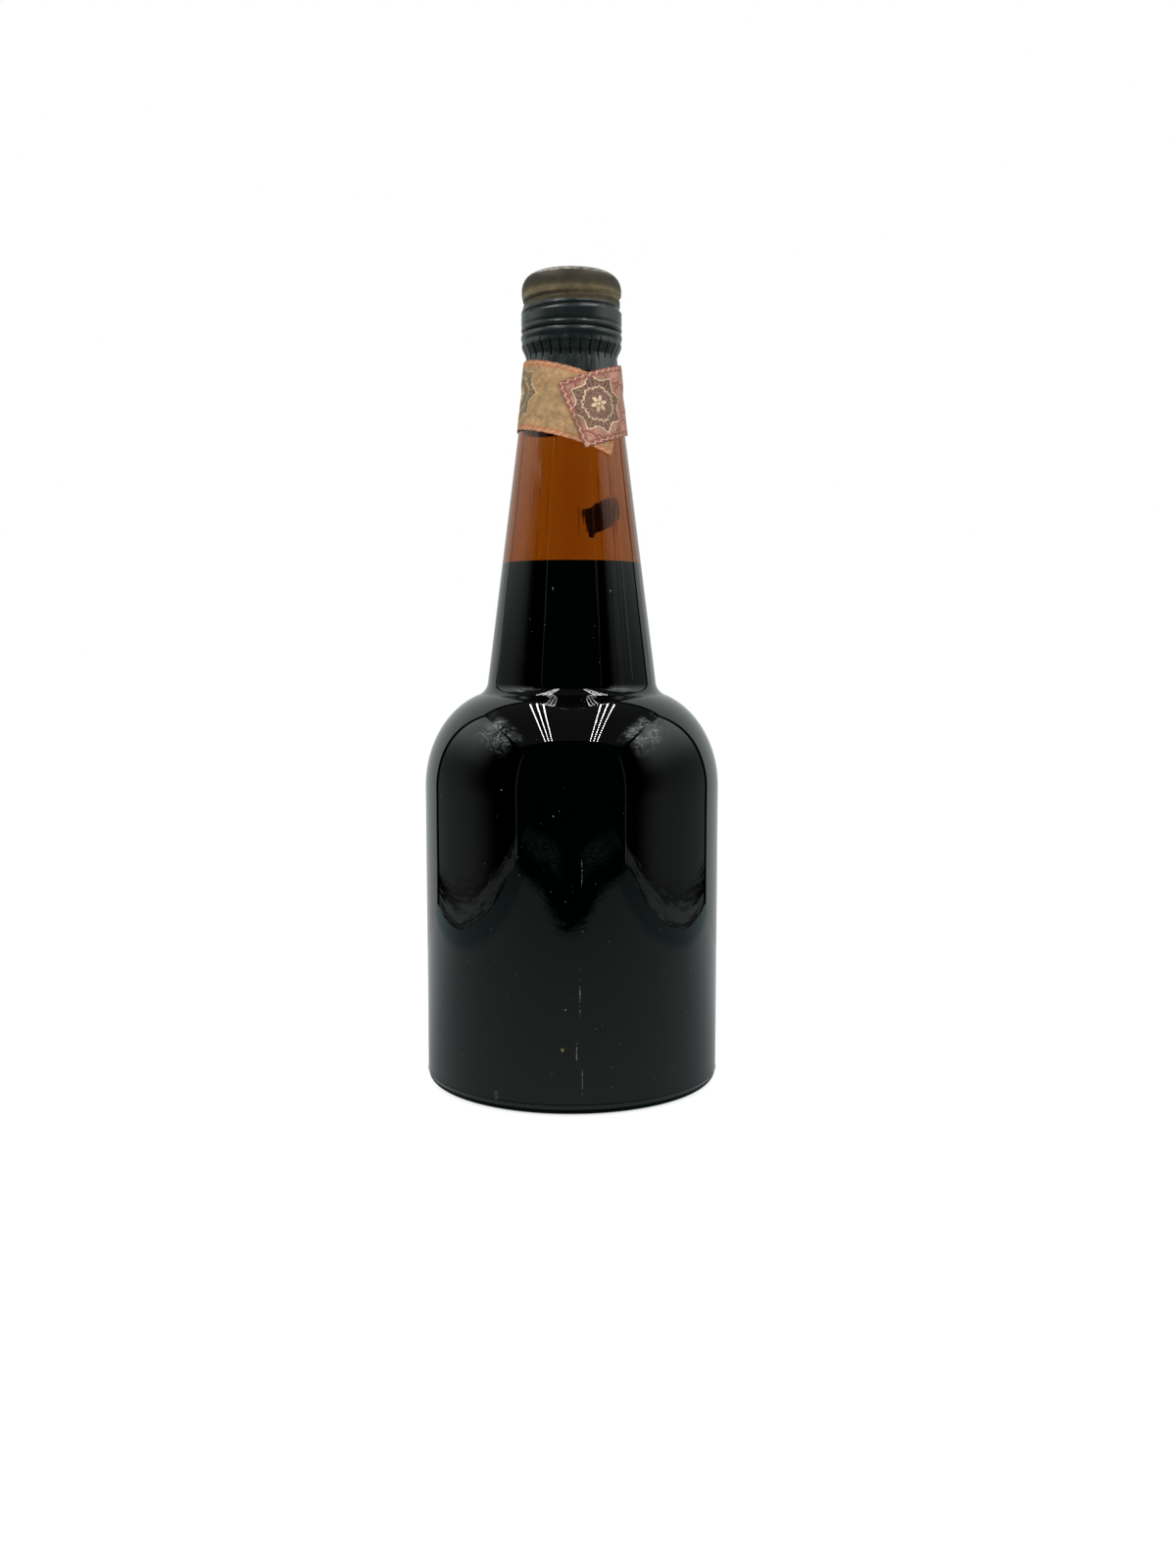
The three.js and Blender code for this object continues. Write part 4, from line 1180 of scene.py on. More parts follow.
def makeBand():
    b = bandSettings
    skirt = b["skirtGap"] + b["sheet"]
    skirtWall = [(neckRadius(z) + skirt, z) for z in (b["skirtFoot"], 228.0, 231.3)]
    wall = smoothProfile([*skirtWall, *b["crimpCurve"]], 4)
    inner = [(r - b["sheet"], z) for r, z in wall[::-1]]
    band = turnedFrom("tamperBandPlain", [*wall, *inner, wall[0]], {
        "Columns": b["columns"],
        "Ripple": b["ripple"] * mm,
        "Ripple Scale": b["rippleScale"],
        "Ripple From": 8 * mm,
        "Material": lacquer,
    })
    piece = grown("tamperBandCrimped", slitBandTree(), band, {
        "Slits": b["slits"],
        "Radius": 15.4 * mm,
        "Width": b["slitWidth"] * mm,
        "Foot": b["slitFoot"] * mm,
        "Top": b["slitTop"] * mm,
        "Phase": math.radians(b["slitPhase"]),
        "Crimp": b["crimp"] * mm,
        "Seed": 3.0,
        "Material": lacquer,
    })
    settle(piece, "bottle", "tamper_band")


makeBand()
print("band ready")

linerSettings = {
    "centreR": 11.15,
    "centreZ": 252.3,
    "run": 3.85,
    "rise": 4.45,
    "edgeRound": 0.15,
    "wadBottom": 255.2,
    "wadTop": 257.15,
    "facingBottom": 254.95,
    "facingTop": 255.15,
    "grainSize": 1.111,
    "creaseSize": 2.381,
    "stainSize": 8.333,
    "corks": ("#7d5a38", "#b98f62"),
    "tin": "#b9bab8",
    "tinStained": "#8f8a80",
}


# Pressed cork: grains of several browns bound together, with fine gaps between them
def pressedCork():
    material, tree = emptyMaterial("corkGranulatePressed")
    place = addNode(tree, "ShaderNodeTexCoord").outputs["Object"]
    grain = addNode(tree, "ShaderNodeTexVoronoi",
                    {"Vector": place, "Scale": perMetre(linerSettings["grainSize"])})
    ramp = addNode(tree, "ShaderNodeValToRGB", [grain.outputs["Color"]])
    for element, colour in zip(ramp.color_ramp.elements, linerSettings["corks"]):
        element.color = linear(colour)
    gaps = addNode(tree, "ShaderNodeBump",
                   {"Strength": 0.5, "Distance": 0.1 * mm, "Height": grain.outputs["Distance"]})
    cork = addNode(tree, "ShaderNodeBsdfPrincipled", {"Base Color": ramp, "Roughness": 0.85, "Normal": gaps})
    addNode(tree, "ShaderNodeOutputMaterial", [cork])
    return material


# Tin foil glued to the wad: dull silver with fine creases and a few darker stains
def tinFoil():
    s = linerSettings
    material, tree = emptyMaterial("tinFoilCreased")
    place = addNode(tree, "ShaderNodeTexCoord").outputs["Object"]
    crease = addNode(tree, "ShaderNodeTexNoise",
                     {"Vector": place, "Scale": perMetre(s["creaseSize"]), "Detail": 4.0,
                      "Distortion": 0.8})
    stain = addNode(tree, "ShaderNodeTexNoise",
                    {"Vector": place, "Scale": perMetre(s["stainSize"]), "Detail": 2.0})
    tone = addNode(tree, "ShaderNodeMapRange", [stain.outputs[0], 0.4, 0.7, 0.0, 1.0])
    colour = addNode(tree, "ShaderNodeMix", {0: tone, 6: linear(s["tin"]), 7: linear(s["tinStained"])},
                     data_type="RGBA")
    bump = addNode(tree, "ShaderNodeBump", {"Strength": 0.35, "Distance": 0.1 * mm, "Height": crease})
    foil = addNode(tree, "ShaderNodeBsdfPrincipled",
                   {"Base Color": colour.outputs[2], "Metallic": 0.9, "Roughness": 0.38, "Normal": bump})
    addNode(tree, "ShaderNodeOutputMaterial", [foil])
    return material


# A disc whose edge follows the inside of the cap's rounded corner
def linerProfile(bottom, top):
    s = linerSettings

    def angle(z):
        return math.degrees(math.asin(min((z - s["centreZ"]) / s["rise"], 0.985)))

    edge = ellipseArc(s["centreR"], s["centreZ"], s["run"], s["rise"], angle(bottom), angle(top), 10)
    edge = [(r, min(z, top)) for r, z in edge]
    return [(0, bottom), (5, bottom), (10, bottom), (edge[0][0] - s["edgeRound"], bottom), *edge,
            (edge[-1][0] - s["edgeRound"], top), (0, top)]


def makeLiner():
    s = linerSettings
    wad = turnedFrom("linerWadPressed", linerProfile(s["wadBottom"], s["wadTop"]),
                     {"Columns": 96, "Material": pressedCork()})
    settle(wad, "liner", "liner_wad")
    facing = turnedFrom("linerFacingFoil", linerProfile(s["facingBottom"], s["facingTop"]),
                        {"Columns": 96, "Material": tinFoil()})
    settle(facing, "liner", "liner_facing")


makeLiner()
print("liner ready")

# The neck's cone opened flat: a place across and down from the tip, lifted off the glass
spread = math.sin(taper)


def onCone(across, down, standOff):
    along = np.hypot(across, down)
    around = np.arctan2(across, down) / spread
    r = along * spread + standOff
    return np.stack([r * np.sin(around), r * np.cos(around), coneTip - along * math.cos(taper)], -1)


# Thin closed sheet lying on the cone, with its own flat coordinates in mm / 100 as UV
def paperPiece(name, across, down, standOff, thickness, u, v, material):
    outer = onCone(across, down, standOff + thickness)
    inner = onCone(across, down, standOff)
    rows, columns = across.shape
    points = np.concatenate([outer.reshape(-1, 3), inner.reshape(-1, 3)]) * mm
    index = np.arange(rows * columns).reshape(rows, columns)
    faces = []
    for i in range(rows - 1):
        for j in range(columns - 1):
            a, b, c, d = index[i, j], index[i + 1, j], index[i + 1, j + 1], index[i, j + 1]
            faces.append((a, d, c, b))
            faces.append(tuple(rows * columns + k for k in (a, b, c, d)))
    ring = [*index[:, 0], *index[-1, 1:], *index[-2::-1, -1], *index[0, -2:0:-1]]
    for k, first in enumerate(ring):
        second = ring[(k + 1) % len(ring)]
        faces.append((second, first, first + rows * columns, second + rows * columns))
    piece = meshObject(name, points, faces=faces)
    flat = np.stack([u.reshape(-1), v.reshape(-1)], -1) / 100
    flat = np.concatenate([flat, flat])
    layer = piece.data.uv_layers.new(name="flat")
    corner = np.zeros(len(piece.data.loops), dtype=np.int32)
    piece.data.loops.foreach_get("vertex_index", corner)
    layer.data.foreach_set("uv", flat[corner].reshape(-1))
    piece.data.materials.append(material)
    return piece


# Gummed strip of printed paper: cream with orange edges at one end, pink with crimson ones at the other
stripSettings = {
    "width": 21.5,
    "drop": 11.24,
    "thickness": 0.13,
    "gap": 0.25,
    "lift": 0.4,
    "skirtLift": 0.5,
    # Its two ends, in degrees from +Y, and how far each way it runs level before it climbs
    "pinkEnd": 179.3,
    "pinkLevel": 6.5,
    "creamEnd": -235.5,
    "creamLevel": 46.0,
    # It rises over its own other end from this angle before +Y to the same angle after it
    "lapFade": 100.0,
    "steps": 420,
    "acrossSteps": 30,
    "border": 1.35,
    "motif": 34.8,
    "firstMotif": 38.6,
    "sag": 1.5,
    "sagAt": -58.0,
    "sagWidth": 42.0,
    "overSkirt": (1.5, 5.5),
    "cream": "#a58259",
    "creamDark": "#7f6540",
    "pink": "#a8816d",
    "pinkDark": "#8a6150",
    "orange": "#a0603a",
    "crimson": "#7d403a",
    "brown": "#34241a",
    "olive": "#4a4133",
    "pale": "#b8a480",
    "palePink": "#cdb592",
    "grime": "#54492f",
}


# The print repeats along the strip: where a place lies from the centre of its own rosette
def motifPlace(tree, u, v):
    s = stripSettings
    beside = addNode(tree, "ShaderNodeMath", [u, -s["firstMotif"]], operation="ADD")
    beside = addNode(tree, "ShaderNodeMath", [beside, s["motif"] / 2, -s["motif"] / 2], operation="WRAP")
    above = addNode(tree, "ShaderNodeMath", [v, 0.8], operation="ADD")
    away = addNode(tree, "ShaderNodeCombineXYZ", [beside, above, 0.0])
    away = addNode(tree, "ShaderNodeVectorMath", [away], operation="LENGTH").outputs["Value"]
    theta = addNode(tree, "ShaderNodeMath", [above, beside], operation="ARCTAN2")
    return beside, above, away, theta


# A wave round the rosette, of so many periods in a turn
def roundWave(tree, theta, periods, operation="SINE"):
    wave = addNode(tree, "ShaderNodeMath", [theta, periods], operation="MULTIPLY")
    return addNode(tree, "ShaderNodeMath", [wave], operation=operation)


# Dark eight-pointed star, engraved with fine rays and rings: how far past its edge a place is, how far
# towards a point of it, and how dark it is printed
def engravedStar(tree, away, theta, wobble, present):
    point = roundWave(tree, theta, 4.0)
    point = addNode(tree, "ShaderNodeMath", [point], operation="ABSOLUTE")
    edge = addNode(tree, "ShaderNodeMath", [point, -2.0, 9.2], operation="MULTIPLY_ADD")
    edge = addNode(tree, "ShaderNodeMath", [wobble, 0.8, edge], operation="MULTIPLY_ADD")
    inside = addNode(tree, "ShaderNodeMath", [away, edge], operation="LESS_THAN")
    inside = addNode(tree, "ShaderNodeMath", [inside, present], operation="MULTIPLY")
    past = addNode(tree, "ShaderNodeMath", [away, edge], operation="SUBTRACT")
    rays = addNode(tree, "ShaderNodeMapRange", [roundWave(tree, theta, 30.0), -0.6, 0.6, 0.45, 0.95])
    rings = roundWave(tree, past, math.tau / 1.5)
    rings = addNode(tree, "ShaderNodeMapRange", [rings, 0.0, 0.9, 1.0, 0.45])
    shade = addNode(tree, "ShaderNodeMath", [rays, rings], operation="MINIMUM")
    shade = addNode(tree, "ShaderNodeMath", [inside, shade], operation="MULTIPLY")
    return past, point, addNode(tree, "ShaderNodeMath", [shade, 0.92], operation="MULTIPLY")


# Lines outside the star: two outlines that echo it, and hatching close to it
def echoLines(tree, past, point, pinkness, present):
    petal = addNode(tree, "ShaderNodeMath", [point, 2.6, past], operation="MULTIPLY_ADD")
    echo = addNode(tree, "ShaderNodeMath", [petal, 5.2, 0.30], operation="COMPARE")
    second = addNode(tree, "ShaderNodeMath", [petal, 6.6, 0.16], operation="COMPARE")
    echo = addNode(tree, "ShaderNodeMath", [echo, second], operation="MAXIMUM")
    hatch = addNode(tree, "ShaderNodeMapRange", [roundWave(tree, petal, 5.0), -0.2, 1.0, 0.0, 0.45])
    near = addNode(tree, "ShaderNodeMath", [petal, 5.2], operation="LESS_THAN")
    hatch = addNode(tree, "ShaderNodeMath", [hatch, near], operation="MULTIPLY")
    lines = addNode(tree, "ShaderNodeMath", [echo, hatch], operation="MAXIMUM")
    for share in (pinkness, present):
        lines = addNode(tree, "ShaderNodeMath", [lines, share], operation="MULTIPLY")
    return lines


# Quarter petals in the corners and half petals between, drawn with two lines and left pale inside
def cornerPetals(tree, beside, above, v, wobble, pinkness, lines):
    besideCentre = addNode(tree, "ShaderNodeMath", [beside], operation="ABSOLUTE")
    fromMiddle = addNode(tree, "ShaderNodeMath", [v], operation="ABSOLUTE")
    cornerU = addNode(tree, "ShaderNodeMath", [besideCentre, -8.9], operation="ADD")
    cornerV = addNode(tree, "ShaderNodeMath", [fromMiddle, -10.0], operation="ADD")
    corner = addNode(tree, "ShaderNodeCombineXYZ", [cornerU, cornerV, 0.0])
    corner = addNode(tree, "ShaderNodeVectorMath", [corner], operation="LENGTH").outputs["Value"]
    betweenU = addNode(tree, "ShaderNodeMath", [besideCentre, -11.6], operation="ADD")
    between = addNode(tree, "ShaderNodeCombineXYZ", [betweenU, above, 0.0])
    between = addNode(tree, "ShaderNodeVectorMath", [between], operation="LENGTH").outputs["Value"]
    petal = addNode(tree, "ShaderNodeMath", [corner, between], operation="MINIMUM")
    petal = addNode(tree, "ShaderNodeMath", [wobble, 0.5, petal], operation="MULTIPLY_ADD")
    arcs = addNode(tree, "ShaderNodeMath", [petal, 4.3, 0.36], operation="COMPARE")
    thin = addNode(tree, "ShaderNodeMath", [petal, 3.2, 0.15], operation="COMPARE")
    arcs = addNode(tree, "ShaderNodeMath", [arcs, thin], operation="MAXIMUM")
    arcs = addNode(tree, "ShaderNodeMath", [arcs, pinkness], operation="MULTIPLY")
    arcs = addNode(tree, "ShaderNodeMath", [arcs, 0.85], operation="MULTIPLY")
    outside = addNode(tree, "ShaderNodeMath", [petal, 3.9], operation="LESS_THAN")
    outside = addNode(tree, "ShaderNodeMath", [1.0, outside], operation="SUBTRACT")
    lines = addNode(tree, "ShaderNodeMath", [lines, outside], operation="MULTIPLY")
    return addNode(tree, "ShaderNodeMath", [lines, arcs], operation="MAXIMUM")


# Pale raised lines: the star's outline, a beaded ring rubbed off in places, and a six-petalled rosette
def raisedLines(tree, past, away, theta, wobble, present):
    outline = addNode(tree, "ShaderNodeMath", [past, 0.0, 0.24], operation="COMPARE")
    ring = addNode(tree, "ShaderNodeMath", [roundWave(tree, theta, 20.0), 0.22, away],
                   operation="MULTIPLY_ADD")
    ring = addNode(tree, "ShaderNodeMath", [roundWave(tree, theta, 7.0), 0.22, ring],
                   operation="MULTIPLY_ADD")
    ring = addNode(tree, "ShaderNodeMath", [ring, 5.2, 0.3], operation="COMPARE")
    rubbedOff = addNode(tree, "ShaderNodeMapRange", [wobble, -0.1, 0.06, 0.35, 1.0])
    ring = addNode(tree, "ShaderNodeMath", [ring, rubbedOff], operation="MULTIPLY")
    petals = roundWave(tree, theta, 3.0, "COSINE")
    petals = addNode(tree, "ShaderNodeMath", [petals], operation="ABSOLUTE")
    petals = addNode(tree, "ShaderNodeMath", [petals, 2.0, 0.7], operation="MULTIPLY_ADD")
    petals = addNode(tree, "ShaderNodeMath", [away, petals], operation="LESS_THAN")
    eye = addNode(tree, "ShaderNodeMath", [away, 0.75, 0.16], operation="COMPARE")
    petals = addNode(tree, "ShaderNodeMath", [petals, eye], operation="SUBTRACT")
    raised = addNode(tree, "ShaderNodeMath", [outline, ring], operation="MAXIMUM")
    raised = addNode(tree, "ShaderNodeMath", [raised, petals], operation="MAXIMUM")
    return addNode(tree, "ShaderNodeMath", [raised, present], operation="MULTIPLY")


# Edging all round the strip, a thin line inside it, and a small pale wave running in it
def edgingLines(tree, u, v, length):
    s = stripSettings
    fromSide = addNode(tree, "ShaderNodeMath", [v], operation="ABSOLUTE")
    fromSide = addNode(tree, "ShaderNodeMath", [s["width"] / 2, fromSide], operation="SUBTRACT")
    fromEnd = addNode(tree, "ShaderNodeMath", [length, u], operation="SUBTRACT")
    edge = addNode(tree, "ShaderNodeMath", [fromSide, fromEnd], operation="MINIMUM")
    edge = addNode(tree, "ShaderNodeMath", [edge, u], operation="MINIMUM")
    border = addNode(tree, "ShaderNodeMath", [edge, s["border"]], operation="LESS_THAN")
    inner = addNode(tree, "ShaderNodeMath", [edge, s["border"] + 0.2, 0.13], operation="COMPARE")
    slant = addNode(tree, "ShaderNodeMath", [u, v], operation="ADD")
    wave = addNode(tree, "ShaderNodeMath", [roundWave(tree, slant, math.tau / 2.3), 0.3, edge],
                   operation="MULTIPLY_ADD")
    wave = addNode(tree, "ShaderNodeMath", [wave, 0.66, 0.17], operation="COMPARE")
    wave = addNode(tree, "ShaderNodeMath", [wave, border], operation="MULTIPLY")
    return border, inner, addNode(tree, "ShaderNodeMath", [wave, 0.6], operation="MULTIPLY")


# Dark specks, and the painted shade of one thin crease that wanders along the cream end
def specksAndCreaseShade(tree, flat, u, v):
    speck = addNode(tree, "ShaderNodeTexNoise", {"Vector": flat, "Scale": 1.3, "Detail": 3.0})
    speck = addNode(tree, "ShaderNodeMapRange", [speck.outputs[0], 0.62, 0.70, 0.0, 0.6])
    # Painted shade: a dark line where the crease runs
    wander = addNode(tree, "ShaderNodeTexNoise", {"Vector": flat, "Scale": 0.22, "Detail": 3.0})
    crease = addNode(tree, "ShaderNodeMath", [wander.outputs[0], -6.0, v], operation="MULTIPLY_ADD")
    crease = addNode(tree, "ShaderNodeMath", [crease, 3.2, 0.13], operation="COMPARE")
    onCream = addNode(tree, "ShaderNodeMath", [u, 44.0], operation="LESS_THAN")
    crease = addNode(tree, "ShaderNodeMath", [crease, onCream], operation="MULTIPLY")
    crease = addNode(tree, "ShaderNodeMath", [crease, 0.5], operation="MULTIPLY")
    return addNode(tree, "ShaderNodeMath", [speck, crease], operation="MAXIMUM")


# Its pattern is drawn on the paper's own flat coordinates, in mm, so noise scales are per mm
def printedPaper(length):
    s = stripSettings
    material, tree = emptyMaterial("gummedPaperPrinted")
    flat = addNode(tree, "ShaderNodeTexCoord").outputs["UV"]
    flat = addNode(tree, "ShaderNodeVectorMath", [flat, (100, 100, 100)], operation="MULTIPLY")
    split = addNode(tree, "ShaderNodeSeparateXYZ", [flat])
    u, v = split.outputs["X"], split.outputs["Y"]
    # Mottled, slightly dirty paper with short fibres
    mottle = addNode(tree, "ShaderNodeTexNoise", {"Vector": flat, "Scale": 0.55, "Detail": 6.0,
                                                  "Roughness": 0.65})
    stain = addNode(tree, "ShaderNodeTexNoise", {"Vector": flat, "Scale": 0.16, "Detail": 4.0,
                                                 "Distortion": 0.6})
    wobble = addNode(tree, "ShaderNodeTexNoise", {"Vector": flat, "Scale": 1.4, "Detail": 2.0})
    wobble = addNode(tree, "ShaderNodeMath", [wobble.outputs[0], -0.5], operation="ADD")
    tone = addNode(tree, "ShaderNodeMapRange", [mottle.outputs[0], 0.35, 0.65, 0.0, 1.0])
    cream = addNode(tree, "ShaderNodeMix", {0: tone, 6: linear(s["creamDark"]), 7: linear(s["cream"])},
                    data_type="RGBA")
    pink = addNode(tree, "ShaderNodeMix", {0: tone, 6: linear(s["pinkDark"]), 7: linear(s["pink"])},
                   data_type="RGBA")
    # Paper and inks turn from the cream end's colours to the pink end's
    pinkness = addNode(tree, "ShaderNodeMapRange", [u, 56.0, 78.0, 0.0, 1.0],
                       interpolation_type="SMOOTHSTEP")
    ends = ((cream.outputs[2], pink.outputs[2]), (linear(s["olive"]), linear(s["crimson"])),
            (linear(s["orange"]), linear(s["crimson"])), (linear(s["olive"]), linear(s["brown"])),
            (linear(s["pale"]), linear(s["palePink"])))
    field, ink, edging, dark, pale = [
        addNode(tree, "ShaderNodeMix", {0: pinkness, 6: atCream, 7: atPink}, data_type="RGBA").outputs[2]
        for atCream, atPink in ends]

    # Plain rosettes a third of the strip apart, the last one centred near the pink end
    beside, above, away, theta = motifPlace(tree, u, v)
    present = addNode(tree, "ShaderNodeMath", [u, s["firstMotif"] - s["motif"] / 2], operation="GREATER_THAN")
    past, point, shade = engravedStar(tree, away, theta, wobble, present)
    lines = echoLines(tree, past, point, pinkness, present)
    lines = cornerPetals(tree, beside, above, v, wobble, pinkness, lines)
    raised = raisedLines(tree, past, away, theta, wobble, present)
    raisedTone = addNode(tree, "ShaderNodeMath", [raised, 0.85], operation="MULTIPLY")
    border, inner, wave = edgingLines(tree, u, v, length)
    specks = specksAndCreaseShade(tree, flat, u, v)
    dirt = addNode(tree, "ShaderNodeMapRange", [stain.outputs[0], 0.46, 0.72, 0.0, 0.6])
    colour = field
    for share, layer in ((lines, ink), (shade, dark), (raisedTone, pale), (inner, edging), (border, edging),
                         (wave, pale), (specks, linear(s["olive"])), (dirt, linear(s["grime"]))):
        colour = addNode(tree, "ShaderNodeMix", {0: share, 6: colour, 7: layer}, data_type="RGBA").outputs[2]
    height = addNode(tree, "ShaderNodeMath", [raised, 0.8], operation="MULTIPLY")
    height = addNode(tree, "ShaderNodeMath", [height, mottle.outputs[0]], operation="ADD")
    relief = addNode(tree, "ShaderNodeBump", {"Strength": 0.7, "Distance": 0.16 * mm, "Height": height})
    paper = addNode(tree, "ShaderNodeBsdfPrincipled", {"Base Color": colour, "Roughness": 0.72,
                                                       "Normal": relief})
    addNode(tree, "ShaderNodeOutputMaterial", [paper])
    return material


def makeStrip():
    s = stripSettings
    degrees = np.linspace(s["creamEnd"], s["pinkEnd"], s["steps"])

    # Middle line on the flat cone: level at the back, then each end runs on straight and so climbs
    def middle(d):
        level = np.where(d > 0, s["pinkLevel"], s["creamLevel"])
        bent = np.radians(np.maximum(np.abs(d) - level, 0)) * spread
        distance = (bottleSizes["neckTopRadius"] / spread + s["drop"]) / np.cos(bent)
        distance += s["sag"] * np.exp(-((d - s["sagAt"]) / s["sagWidth"]) ** 2)
        turn = np.radians(d) * spread
        return np.stack([distance * np.sin(turn), distance * np.cos(turn)], -1)

    centre = middle(degrees)
    along = middle(degrees + 0.5) - middle(degrees - 0.5)
    along /= np.linalg.norm(along, axis=1)[:, None]
    facing = np.stack([-along[:, 1], along[:, 0]], -1)
    run = np.concatenate([[0], np.cumsum(np.linalg.norm(np.diff(centre, axis=0), axis=1))])
    length = float(run[-1])
    print("strip length in mm", round(length, 2))
    half = s["width"] / 2
    v = np.linspace(-half, half, s["acrossSteps"])
    u, v = np.meshgrid(run, v, indexing="ij")
    # The cut edges aren't quite straight
    ragged = 0.07 * np.sin(u * 1.9 + v) + 0.05 * np.sin(u * 4.3 + 1.0) * np.sign(v)
    shifted = v + ragged * np.abs(v) / half
    across = centre[:, 0][:, None] + shifted * facing[:, 0][:, None]
    down = centre[:, 1][:, None] + shifted * facing[:, 1][:, None]
    # It stands off over the band's skirt and over itself, is a little wavy, and curls at its last corners
    z = coneTip - np.hypot(across, down) * math.cos(taper)
    around = np.degrees(np.arctan2(across, down) / spread)
    overSkirt = 1 - smoothstep(bandSettings["skirtFoot"] - z, *s["overSkirt"])
    overSelf = smoothstep(around, -s["lapFade"], s["lapFade"])
    waves = 0.05 * (1 + np.sin(u * 0.61 + 0.4 * v)) + 0.04 * (1 + np.sin(u * 1.37 - 0.8 * v + 2))
    curl = np.exp(-((length - u) / 2.2) ** 2) * (0.12 + 0.2 * smoothstep(np.abs(v), 6, half))
    standOff = s["gap"] + overSkirt * s["skirtLift"] + overSelf * s["lift"] + waves + curl
    piece = paperPiece("taxStripPaper", across, down, standOff, s["thickness"], u, v, printedPaper(length))
    settle(piece, "bottle", "tax_strip")


makeStrip()
print("strip ready")

# Scrap of an old label, seen through the glass: dark stained paper, one end round, the other torn
scrapSettings = {
    "length": 16.4,
    "width": 9.0,
    # Its middle, in mm below the lip and degrees from +Y
    "depth": 70.6,
    "angle": 32.0,
    "tilt": 25.0,
    "thickness": 0.15,
    "gap": 0.25,
    "steps": 60,
    "acrossSteps": 24,
    "mottleSize": 1.4286,
    "light": "#d8c09a",
    "stained": "#a98d6a",
}


def stainedPaper():
    material, tree = emptyMaterial("labelPaperStained")
    flat = addNode(tree, "ShaderNodeTexCoord").outputs["UV"]
    mottle = addNode(tree, "ShaderNodeTexNoise", {"Vector": flat, "Scale": 100 / scrapSettings["mottleSize"],
                                                  "Detail": 6.0, "Roughness": 0.7})
    tone = addNode(tree, "ShaderNodeMapRange", [mottle.outputs[0], 0.35, 0.7, 0.0, 1.0])
    colour = addNode(tree, "ShaderNodeMix",
                     {0: tone, 6: linear(scrapSettings["stained"]), 7: linear(scrapSettings["light"])},
                     data_type="RGBA")
    bump = addNode(tree, "ShaderNodeBump", {"Strength": 0.6, "Distance": 0.1 * mm, "Height": mottle})
    paper = addNode(tree, "ShaderNodeBsdfPrincipled",
                    {"Base Color": colour.outputs[2], "Roughness": 0.85, "Normal": bump})
    addNode(tree, "ShaderNodeOutputMaterial", [paper])
    return material


def makeScrap():
    s = scrapSettings
    distance = (coneTip - bottleSizes["glassHeight"] + s["depth"]) / math.cos(taper)
    flat = math.radians(s["angle"]) * spread
    tilt = math.radians(s["tilt"])
    t = np.linspace(-1, 1, s["steps"])
    # Its half width from the torn end to the round one
    roundEnd = np.sqrt(np.maximum(1 - np.maximum((t - 0.25) / 0.78, 0) ** 2, 0.0004))
    torn = 1 - 0.08 * np.sin(9 * t) * np.maximum(-t, 0) - 0.05 * np.sin(31 * t) * np.maximum(-t, 0)
    half = s["width"] / 2 * roundEnd * torn
    w = np.linspace(-1, 1, s["acrossSteps"])
    t, w = np.meshgrid(t, w, indexing="ij")
    # Torn end: the tear runs aslant and is frayed
    tear = -0.06 * w + 0.02 * np.sin(11 * w) + 0.012 * np.sin(27 * w + 1)
    reach = np.where(t < 0, t * (1 - tear * np.abs(t)), t)
    along = reach * s["length"] / 2
    side = w * half[:, None]
    across = distance * math.sin(flat) + math.cos(tilt) * along + math.sin(tilt) * side
    down = distance * math.cos(flat) - math.sin(tilt) * along + math.cos(tilt) * side
    standOff = s["gap"] + 0.05 * (1 + np.sin(5 * t + 3 * w))
    piece = paperPiece("labelScrapTorn", across, down, standOff, s["thickness"], along, side, stainedPaper())
    settle(piece, "bottle", "neck_scrap")


makeScrap()
print("scrap ready")


# Outside of the bottle at a height, for what lies on it
def bodyRadiusAt(z):
    if z >= 131:
        return neckRadius(z)
    rise = max(z - bottleSizes["wallTop"], 0) / bottleSizes["shoulderRise"]
    dome = bottleSizes["shoulderRun"] * math.sqrt(max(1 - rise * rise, 0))
    standing = 1 - min(z / bottleSizes["wallTop"], 1)
    return bottleSizes["bodyRadius"] - bottleSizes["shoulderRun"] + dome - 0.01 - standing * 0.12


def onOutside(r, turn, z):
    return (r * math.sin(turn) * mm, -r * math.cos(turn) * mm, z * mm)


